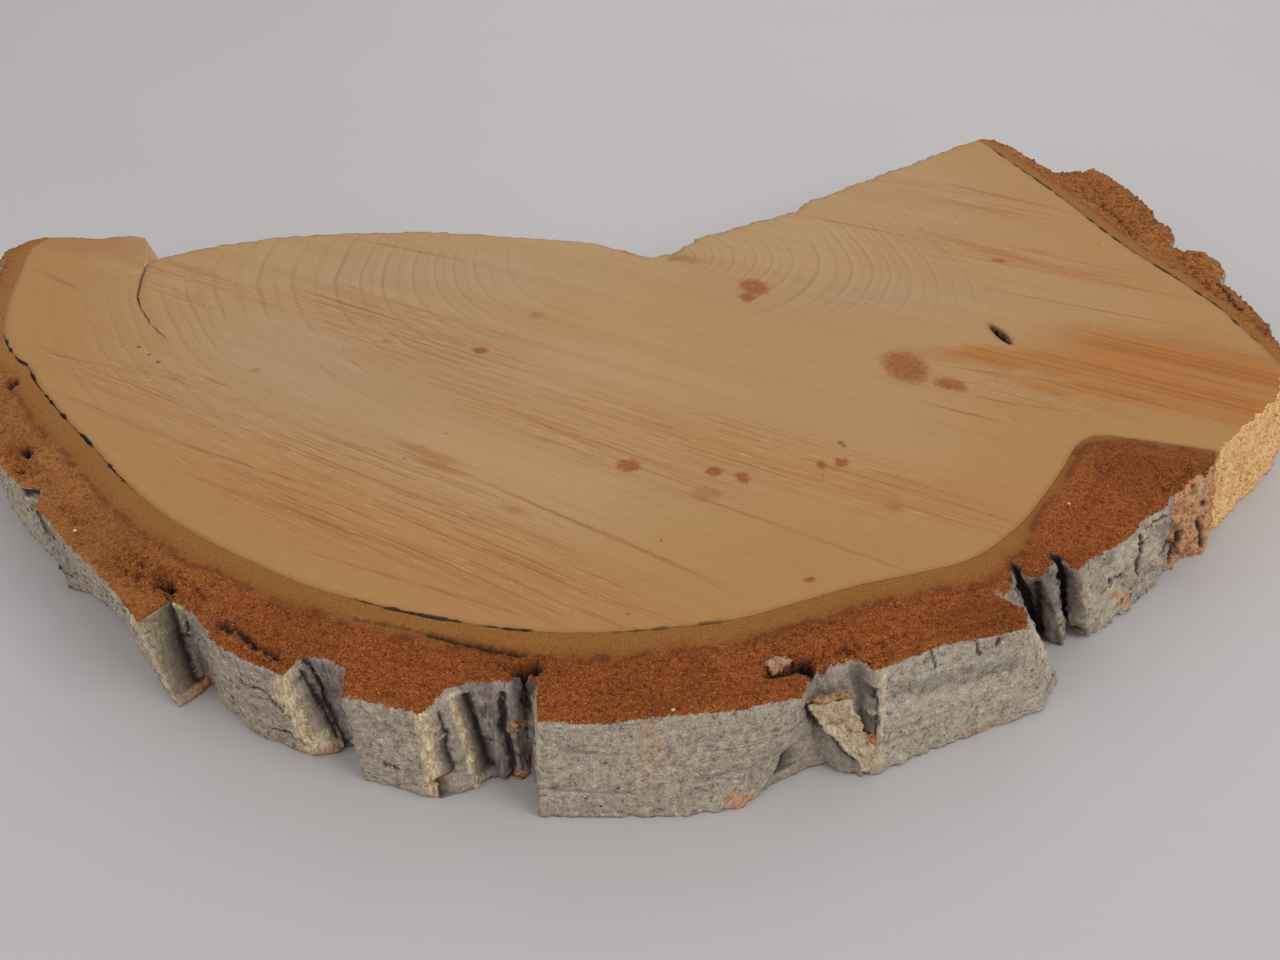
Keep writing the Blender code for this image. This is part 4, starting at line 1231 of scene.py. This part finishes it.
# %% Leaves of bark that stand off the side: the line down their middle, half width and height
LEAVES = [
    ([(88.2, -106.6, 17.6), (89.4, -106.9, 12.4), (88.8, -108.6, 8.4)], 2.9, 0.9),
    ([(76, -118.6, 17), (78.4, -116.6, 13.6)], 2, 0.5), ([(80.6, -115.4, 8.4), (84, -113, 6.4)], 1.4, 0.5),
    ([(-33.6, -153.4, 18), (-33, -153.8, 10), (-32.6, -154.6, 2)], 1.5, 0.5),
    ([(-29.2, -152, 18.6), (-28.6, -152.4, 11)], 0.9, 0.4),
    ([(-24.2, -150.8, 18), (-24, -151.2, 13)], 1.2, 0.7),
    ([(71, -122, 5), (72.6, -121.4, 2.4)], 1.5, 0.5), ([(64.6, -124.8, 17), (65.6, -123.4, 7)], 0.5, 0.5),
    ([(45, -145.6, 7), (56, -141.4, 6.4)], 2.4, 0.25), ([(-8, -159.2, 8), (6, -158.8, 7)], 3, 0.18),
    ([(-106, -118, 8), (-100, -122, 7)], 3, 0.3), ([(-44, -155.2, 10), (-40, -155.8, 8)], 2.2, 0.25),
]

# %% Holes in the bark's top, painted dark as shadow where deep: centre, half length, half width, depth, bearing
PITS = [
    ((18.4, -147), 2.3, 1.9, 4.6, 10), ((14.9, -148.6), 3, 1.2, 2.2, 20), ((22.4, -148.4), 1.8, 1, 1.8, 0),
    ((-83.5, -128.6), 2.6, 1.5, 4, -30),
    ((-88, -126.6), 2.2, 1, 1.8, -40), ((-137.6, -64.6), 2.4, 1.4, 3.5, -60),
    ((-123.6, -89.5), 2.6, 1.3, 2.5, -50), ((-122, -96), 1.4, 0.9, 1.8, -30),
    ((-22.8, -148.3), 2.9, 1.5, 4.2, 0), ((55.6, -128.2), 1.3, 1, 2.5, 80), ((127, 38), 1.6, 1, 1.6, 80),
    ((130, 26), 1.4, 1, 1.6, 60), ((125, 52), 1.3, 0.9, 1.4, 60), ((129, -6), 1.3, 1, 1.4, 60),
]
print("marks on the side:", len(CRACKS + CREAM + CHIPS + PAINTED_SHADES + PALES_AND_HIGHLIGHTS + LEAVES), "holes:", len(PITS))

# %% [markdown]
# ### Relief of the bark
#
# The side's relief is measured along the outline and up it, not in space, so that ridges in the furrows run
# with the bark's own lean. Weathered plates get low lumps and thin scales, which are the same noise rounded
# to steps. The sawn top is worn below the wood, more so in crumbly zones, and its rim takes the side's upper
# rows down with it; otherwise a notch in the rim would be a hole behind a standing wall.

# %% Bark outline
def bark_outline(table, wood_edge):
    """The bark's closed outline: out along its plates, and back along the wood, with each row's style."""
    outer, which = gathered([stretch(points, STEP) for points, _, _, _ in table])
    keep = np.concatenate([[True], np.linalg.norm(np.diff(outer, axis=0), axis=1) > 0.05])
    outer, which = outer[keep], which[keep]
    style = np.array([[tone, recess, rag] for _, tone, recess, rag in table])[which]
    blur = np.array([1, 2, 3, 4, 3, 2, 1]) / 16
    padded = np.vstack([style[:1]] * 3 + [style] + [style[-1:]] * 3)
    style = np.column_stack([np.convolve(padded[:, k], blur, "valid") for k in range(3)])
    inner = wood_edge[::-1].copy()
    places = np.column_stack([inner[:, :2], np.full(len(inner), THICKNESS)])
    open_by = seam_share(places) * (0.2 + 0.25 * rumple(places, (5.0, 5.0, 5.0), 4.0))
    away = outward(wood_edge)[::-1]
    inner += np.tile(away, 2) * np.maximum(open_by, 0.0)[:, None]
    return np.vstack([outer, inner]), np.vstack([style, np.zeros((len(inner), 3))]), len(outer)


# %% Depth of the holes
def pit_depth(places):
    """How far the holes sink the bark's top at each place."""
    depth = np.zeros(len(places))
    wobble = 0.3 * rumple(places, (1.3, 1.3, 1.3), 31.0, 2)
    for (x, y), half_x, half_y, deep, angle in PITS:
        c, s = math.cos(math.radians(angle)), math.sin(math.radians(angle))
        dx, dy = places[:, 0] - x, places[:, 1] - y
        reach = np.hypot((dx * c + dy * s) / half_x, (dy * c - dx * s) / half_y) + wobble
        depth = np.maximum(depth, deep * ease(reach, 1.1, 0.5))
    return depth


# %% Relief of the side and of the top
def side_push(run, still, tone, recess, rag, cream, leaf):
    """How far the bark's side stands out at each point, in mm."""
    sheet = np.column_stack([run, np.zeros(len(run)), still[:, 2]])
    scales = np.round(2.6 * rumple(sheet, (8.0, 1.0, 4.0), 41.0, 2)) / 2.6
    foot, rim = ease(still[:, 2], 1.4, 0.0), ease(THICKNESS - still[:, 2], 0.8, 0.0)
    return (
        rag * 0.75 * rumple(sheet, (5.0, 1.0, 8.0), 1.0, 3, 0.55)
        + rag * 0.45 * rumple(sheet, (1.7, 1.0, 2.6), 2.0, 3, 0.6)
        + tone * 0.2 * scales
        + 0.1 * rumple(sheet, (0.9, 1.0, 0.9), 3.0, 2)
        + recess * 0.5 * rumple(sheet, (1.5, 1.0, 16.0), 5.0, 3, 0.65)
        + cream * (0.25 + 0.5 * rumple(sheet, (0.9, 1.0, 2.6), 6.0, 3, 0.65)) + leaf
        - foot * (0.22 + 0.45 * rumple(sheet, (2.2, 1.0, 3.0), 8.0, 2)) - rim * 0.15
    )


def top_sink(still, from_wood, from_rim, crumb):
    """How far the bark's sawn top lies below the wood at each point, in mm."""
    inner_bark = ease(from_wood, 3.0, 5.5)
    return np.maximum(0.0, (
        WEAR * ease(from_wood, 1.0, 9.0) * (0.7 + 0.6 * rumple(still, (6.0, 6.0, 6.0), 5.0))
        + inner_bark * (0.25 + 0.35 * rumple(still, (1.3, 1.3, 1.3), 6.0, 3, 0.65))
        + crumb * (0.6 + 0.9 * rumple(still, (2.2, 2.2, 2.2), 7.0, 3, 0.7))
        + 0.35 * ease(from_rim, 0.8, 0.0)
    ))


# %% The bark's side with its relief
LEAF_STEP = 0.12
STILL_COLUMNS, FREE_COLUMNS = 1, 5


def bark_side(rows, style, outer_count):
    """The side with its relief, its outer places before that, and their tone, recess and cream."""
    side = side_grid(rows, LEVELS)
    outer = side[:, :outer_count].reshape(-1, 3)
    tone, recess, rag = [np.tile(style[:outer_count, k], LEVELS) for k in range(3)]
    run = np.tile(run_along(rows[:outer_count, :2]), LEVELS)
    cracks, cream, leaf = [marked(outer, snapped(table, outer)) for table in (CRACKS, CREAM, LEAVES)]
    leaf = np.round(leaf / LEAF_STEP) * LEAF_STEP
    push = np.zeros(side.shape[:2])
    stand = side_push(run, outer, tone, recess, rag, cream, leaf) - cracks
    from_end = np.minimum(np.arange(outer_count), np.arange(outer_count)[::-1])
    push[:, :outer_count] = stand.reshape(LEVELS, -1) * ease(from_end, STILL_COLUMNS, FREE_COLUMNS)
    return pushed(side, rows, push), outer, tone, recess, cream


# %% Building a bark piece
BARK_BASE_SPACING = 2.5
FAR = 99.0


def bark_piece(name, table, wood_points):
    rows, style, outer_count = bark_outline(table, curve(wood_points, HIDDEN_STEP))
    side, outer, tone, recess, cream = bark_side(rows, style, outer_count)
    shape = slab(side, TOP_SPACING, BARK_BASE_SPACING)
    places, column, level = shape["places"], shape["column"], shape["level"]
    still = places.copy()
    upright = unleaned(still)
    on_outer = (column >= 0) & (column < outer_count)
    above, below = level >= LEVELS - 1, level <= 0
    from_wood = gaps_to(search_tree(curve(wood_points, MEASURING_STEP)[:, :2]), upright)
    rim, foot = [places[on_outer & (level == k)] for k in (LEVELS - 1, 0)]
    from_rim = np.full(len(places), FAR)
    from_rim[above] = gaps_to(search_tree(rim[:, :2]), still[above])
    from_rim[below] = gaps_to(search_tree(foot[:, :2]), still[below])
    below_rim = np.where(above | below, -from_rim, np.minimum(THICKNESS - still[:, 2], still[:, 2]))

    crumb = np.where(above, marked(still, CRUMBLY, 0.5), 0.0)
    pits = np.where(above, pit_depth(still), 0.0)
    top_cracks = np.where(above, marked(still, TOP_CRACKS), 0.0)
    sink = np.where(above, top_sink(still, from_wood, from_rim, crumb) + pits + top_cracks, 0.0)
    sink *= ease(from_wood, 0.0, 0.6)
    at_rim = sink[(LEVELS - 1) * len(rows) + np.arange(len(rows))]
    inside = level == LEVELS
    places[inside, 2] -= sink[inside]
    side_points = column >= 0
    places[side_points, 2] -= at_rim[column[side_points]] * (still[side_points, 2] / THICKNESS) ** 3

    def of_side(values):
        """Numbers of the outer side's points, spread over all points."""
        whole = np.zeros(len(places))
        whole[on_outer] = values
        return whole

    open_cracks = snapped([(line, reach, 1.0) for line, reach, _ in CRACKS], outer)
    tone, recess = of_side(tone), of_side(recess)
    # Painted shade: the open cracks, at full strength, are painted black as the shadow in them
    painted_crack_shade = marked(outer, open_cracks, 0.5)
    side_chip, pale, shade = [of_side(marked(outer, snapped(t, outer))) for t in (CHIPS, PALES_AND_HIGHLIGHTS, PAINTED_SHADES)]
    chip = np.maximum(side_chip, 0.9 * on_outer * ease(tone, 0.2, 0.05))
    pale = np.maximum(pale, np.where(above, marked(still, PALES_AND_HIGHLIGHTS), 0.0))
    # Painted shade: the dark note paints side cracks, deep holes and top cracks near black
    dark = np.maximum.reduce([
        0.95 * of_side(painted_crack_shade), ease(pits, 0.8, 2.0), 0.85 * ease(top_cracks, 0.12, 0.5)])
    notes = {
        "from_wood_mm": from_wood, "below_rim_mm": below_rim, "tone": tone, "recess": recess,
        "cream": of_side(cream), "chip": chip, "crumb": 0.75 * crumb, "dark": dark,
        "shade": shade, "pale": pale, "seam": seam_share(upright),
        "loose": np.where(above, 0.2 + crumb, 0.0) * ease(from_wood, 4.0, 7.0) * ease(pits, 1.0, 0.3),
        "flaky": on_outer * ease(below_rim, 0.3, 1.0) * (1.0 - of_side(painted_crack_shade)),
    }
    return make_object(name, shape, notes, [BARK])


bark_front = bark_piece("bark_front", BARK_FRONT, WOOD_FRONT)
bark_right = bark_piece("bark_right", BARK_RIGHT, WOOD_RIGHT)

# %% [markdown]
# ## A flake that leans in front of the bark
#
# Between the two front blocks a flake has come half away. It is drawn by its left and right edge and given a
# thickness, so it casts its own shadow, which colour alone can't do. Its torn upper lip, a chip beside it and
# the lump that sits in the hole above are made in the same way.

# %% Flakes: left edge, right edge, thickness in mm, tone, recess, cream, chip
FLAKES = [
    ([(18.6, -152, 15.6), (20.8, -151.4, 10.9), (24.4, -151.8, 6.9), (28.2, -153, 2.4)],
     [(25.4, -149.4, 14.2), (27.2, -150.2, 10.1), (29.2, -151.8, 6.4), (29.8, -152.9, 2.4)], 0.5, 0.8, 0,
     0.6, 0.1),
    ([(18.6, -151.6, 16.5), (21.6, -150.6, 16.2), (25.4, -149, 15.3)],
     [(18.5, -152.1, 16), (21.8, -151.2, 15.6), (25.6, -149.6, 14.8)], 0.4, 0.2, 0, 0.1, 0.7),
    ([(28, -151.4, 8.6), (28.6, -152, 6.8)], [(29.6, -151, 8.2), (29.8, -151.8, 6.4)], 0.4, 0, 0, 0, 1),
    ([(13.9, -146.2, 18.7), (12.6, -147.1, 18.9), (13.8, -148.4, 17.8)],
     [(15, -145.8, 18.8), (16.6, -146.6, 18.9), (15.6, -147.8, 17.8)], 2, 0.1, 0.8, 0, 0.7),
]


def flake_shell(left, right, thickness, rows=40, columns=18):
    """A thin closed leaf between two edges, ragged round its rim and curled a little."""
    share = np.linspace(0, 1, columns)
    left, right = [resampled(edge, rows) for edge in (left, right)]
    sheet = left[:, None] * (1 - share)[None, :, None] + right[:, None] * share[None, :, None]
    down = sheet[-1, columns // 2] - sheet[0, columns // 2]
    face = np.cross(sheet[0, -1] - sheet[0, 0], down)
    face /= np.linalg.norm(face)
    face = -face if face[1] > 0 else face
    flat = sheet.reshape(-1, 3)
    shakes = [rumple(flat, (1.1, 1.1, 1.1), seed, 3, 0.6) for seed in (60.0, 61.0, 62.0)]
    flat = flat + 0.45 * np.column_stack(shakes)
    curl = 0.5 * np.tile((2 * share - 1) ** 2, rows) + 0.3 * rumple(flat, (2.5, 2.5, 5.0), 51.0, 2)
    front = flat + face * (thickness * 0.5 + curl)[:, None]
    back = flat + face * (curl - thickness * 0.5)[:, None]
    places = np.vstack([front, back])
    half = rows * columns
    at = np.arange(half).reshape(rows, columns)
    faces = []
    for i in range(rows - 1):
        for j in range(columns - 1):
            a, b, c, d = at[i, j], at[i + 1, j], at[i + 1, j + 1], at[i, j + 1]
            faces += [[a, b, c, d], [d + half, c + half, b + half, a + half]]
    rim = np.concatenate([at[:, 0], at[-1, 1:], at[-2::-1, -1], at[0, -2:0:-1]])
    for a, b in zip(rim, np.roll(rim, -1)):
        faces.append([b, a, a + half, b + half])
    return places, [[int(i) for i in f] for f in faces]


# %% All flakes as one mesh
flake_places, flake_faces, flake_notes, start = [], [], [], 0
for left, right, thickness, *amounts in FLAKES:
    places, faces = flake_shell(left, right, thickness)
    flake_places.append(places)
    flake_faces += [[i + start for i in f] for f in faces]
    flake_notes.append(np.tile(amounts, (len(places), 1)))
    start += len(places)
flake_places, flake_notes = np.vstack(flake_places), np.vstack(flake_notes)
count = len(flake_places)
notes = dict(zip(("tone", "recess", "cream", "chip"), flake_notes.T))
notes.update({"from_wood_mm": np.full(count, 15.0), "below_rim_mm": np.full(count, 5.0)})
bark_flake = make_object("bark_flake", {"places": flake_places, "faces": flake_faces}, notes, [BARK])

# %% [markdown]
# ## Crumbs, scales and splinters
#
# Thousands of small bits follow three surfaces: crumbs lie on the sawn bark, thin scales lift off its
# weathered side, and splinters stand in the broken end. Placing each by hand is out of the question, and
# they follow one rule: so many per square millimetre wherever a note on the mesh allows, of random size,
# turned at random. One geometry node tree states that rule, and its inputs make each kind of bit. A bit
# takes the notes of the surface under it along, so that the same recipe colours it.


# %% The node tree
LUMPS_PER_METRE = 2200.0


def scatter_tree():
    tree = bpy.data.node_groups.new("scattered bits", "GeometryNodeTree")
    for title, kind in (("Geometry", "Geometry"), ("Where", "String"), ("Amount", "Float"),
                        ("Smallest", "Float"), ("Largest", "Float"), ("Shape", "Vector"), ("Tumble", "Float"),
                        ("Roughness", "Float"), ("Seed", "Int"), ("Material", "Material")):
        tree.interface.new_socket(title, in_out="INPUT", socket_type="NodeSocket" + kind)
    tree.interface.new_socket("Geometry", in_out="OUTPUT", socket_type="NodeSocketGeometry")
    given = tree.nodes.new("NodeGroupInput").outputs
    add = functools.partial(add_node, tree)
    allowed = add("GeometryNodeInputNamedAttribute", "Attribute", {"Name": given["Where"]}, data_type="FLOAT")
    density = add("ShaderNodeMath", 0, {0: allowed, 1: given["Amount"]}, operation="MULTIPLY")
    points = add("GeometryNodeDistributePointsOnFaces", "Points", {
        "Mesh": given["Geometry"], "Density": density, "Seed": given["Seed"]})
    upright = points.node.outputs["Rotation"]
    ball = add("GeometryNodeMeshIcoSphere", "Mesh", {"Radius": 1.0, "Subdivisions": 1})
    size = add("FunctionNodeRandomValue", "Value", {
        "Min": given["Smallest"], "Max": given["Largest"], "Seed": given["Seed"]}, data_type="FLOAT")
    scale = add("ShaderNodeVectorMath", 0, {0: given["Shape"], "Scale": size}, operation="SCALE")
    least, most = [
        add("ShaderNodeVectorMath", 0, {0: (way, way, way), "Scale": given["Tumble"]}, operation="SCALE")
        for way in (-1.0, 1.0)
    ]
    tumble = add("FunctionNodeRandomValue", "Value", {
        "Min": least, "Max": most, "Seed": given["Seed"]}, data_type="FLOAT_VECTOR")
    turned = add("FunctionNodeRotateRotation", 0, {"Rotation": upright, "Rotate By": tumble},
                 rotation_space="LOCAL")
    bits = add("GeometryNodeInstanceOnPoints", 0, {
        "Points": points, "Instance": ball, "Rotation": turned, "Scale": scale})
    real = add("GeometryNodeRealizeInstances", 0, {0: bits})
    here = add("GeometryNodeInputPosition")
    lumps = add("ShaderNodeTexNoise", "Color", {"Vector": here, "Scale": LUMPS_PER_METRE, "Detail": 1.0})
    centred = add("ShaderNodeVectorMath", 0, {0: lumps, 1: (0.5, 0.5, 0.5)}, operation="SUBTRACT")
    shift = add("ShaderNodeVectorMath", 0, {0: centred, "Scale": given["Roughness"]}, operation="SCALE")
    rough = add("GeometryNodeSetPosition", 0, {"Geometry": real, "Offset": shift})
    done = add("GeometryNodeSetMaterial", 0, {"Geometry": rough, "Material": given["Material"]})
    out = tree.nodes.new("NodeGroupOutput")
    tree.links.new(done, out.inputs[0])
    return tree


SCATTER = scatter_tree()


# %% Scattering over a piece
BALL_POINTS = 12


def scattered(name, surface, **inputs):
    """Runs the tree over a piece and keeps the bits as a plain mesh inside the box."""
    host = placed(name + " host", surface.data)
    modifier = host.modifiers.new("scatter", "NODES")
    modifier.node_group = SCATTER
    sockets = {item.name: item.identifier for item in SCATTER.interface.items_tree if item.in_out == "INPUT"}
    for title, value in inputs.items():
        modifier[sockets[title]] = SHARE_OF_BITS * value if title == "Amount" else value
    host.update_tag()
    evaluated = host.evaluated_get(bpy.context.evaluated_depsgraph_get())
    mesh = bpy.data.meshes.new_from_object(evaluated)
    mesh.name = name
    bpy.data.objects.remove(host)
    corners = np.empty(3 * len(mesh.vertices), np.float32)
    mesh.vertices.foreach_get("co", corners)
    mesh.vertices.foreach_set("co", np.clip(corners.reshape(-1, 3), BOX[0], BOX[1]).ravel())
    mesh.update()
    print(f"{name}: {len(mesh.vertices) // BALL_POINTS} bits, {len(mesh.polygons)} triangles")
    return placed(name, mesh)


PER_MM2 = 1.0 / MM ** 2
crumbs = {"Where": "loose", "Amount": 1.4 * PER_MM2, "Smallest": 0.15 * MM, "Largest": 0.5 * MM,
          "Shape": (1.0, 0.8, 0.7), "Tumble": 3.1, "Roughness": 0.3 * MM, "Seed": 3, "Material": BARK}
coarse_crumbs = {**crumbs, "Amount": 0.8 * PER_MM2, "Smallest": 0.25 * MM, "Largest": 0.7 * MM}
lifted = {"Where": "flaky", "Amount": 0.35 * PER_MM2, "Smallest": 0.25 * MM, "Largest": 0.9 * MM,
          "Shape": (1.0, 0.6, 0.16), "Tumble": 0.35, "Roughness": 0.25 * MM, "Seed": 5, "Material": BARK}
splinters = {"Where": "fray", "Amount": 1.2 * PER_MM2, "Smallest": 0.12 * MM, "Largest": 0.34 * MM,
             "Shape": (2.8, 0.6, 0.6), "Tumble": 0.7, "Roughness": 0.25 * MM, "Seed": 7,
             "Material": STRAW_END}
bits = [
    (scattered("front_crumbs", bark_front, **crumbs), "bark"),
    (scattered("right_crumbs", bark_right, **coarse_crumbs), "bark"),
    (scattered("front_scales", bark_front, **lifted), "bark"),
    (scattered("right_scales", bark_right, **lifted), "bark"),
    (scattered("end_splinters", wood, **splinters), "wood"),
]

# %% [markdown]
# ## The floor
#
# A plain pale table, so large that its edge stays out of sight, a hair below the slice so that the two never
# share a plane. A faint cloud in its colour and fine brushed lines keep it from looking like plastic.

# %% The floor
FLOOR_HALF = 3.0
FLOOR_TOP = -0.0002


def table_finish():
    r = Recipe("pale table")
    cloud = r.noise(r.place, 0.006, 3.0)
    brushed = r.noise(r.turned(r.place, 4.0, (0.02, 0.35, 1.0)), 1.0, 3.0)
    tone = r.blend(cloud, paint(194, 189, 189), paint(189, 185, 186))
    return r.finish(tone, brushed, 0.06, r.between(cloud, 0.5, 0.62), 0.3)


floor_mesh = bpy.data.meshes.new("floor")
floor_corners = [(FLOOR_HALF * x, FLOOR_HALF * y, FLOOR_TOP) for x, y in ((-1, -1), (1, -1), (1, 1), (-1, 1))]
floor_mesh.from_pydata(floor_corners, [], [(0, 1, 2, 3)])
floor_mesh.materials.append(table_finish())
floor = placed("floor", floor_mesh)
print("floor", 2 * FLOOR_HALF, "m wide")

# %% [markdown]
# ## Attaching the pieces
#
# Every piece rides on the slice's one body and stands in for its one solid.

# %% Attach the pieces
for piece, slot in [(wood, "wood"), (bark_front, "bark"), (bark_right, "bark"), (bark_flake, "bark")] + bits:
    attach(piece, "root")
    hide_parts("wood_slice")
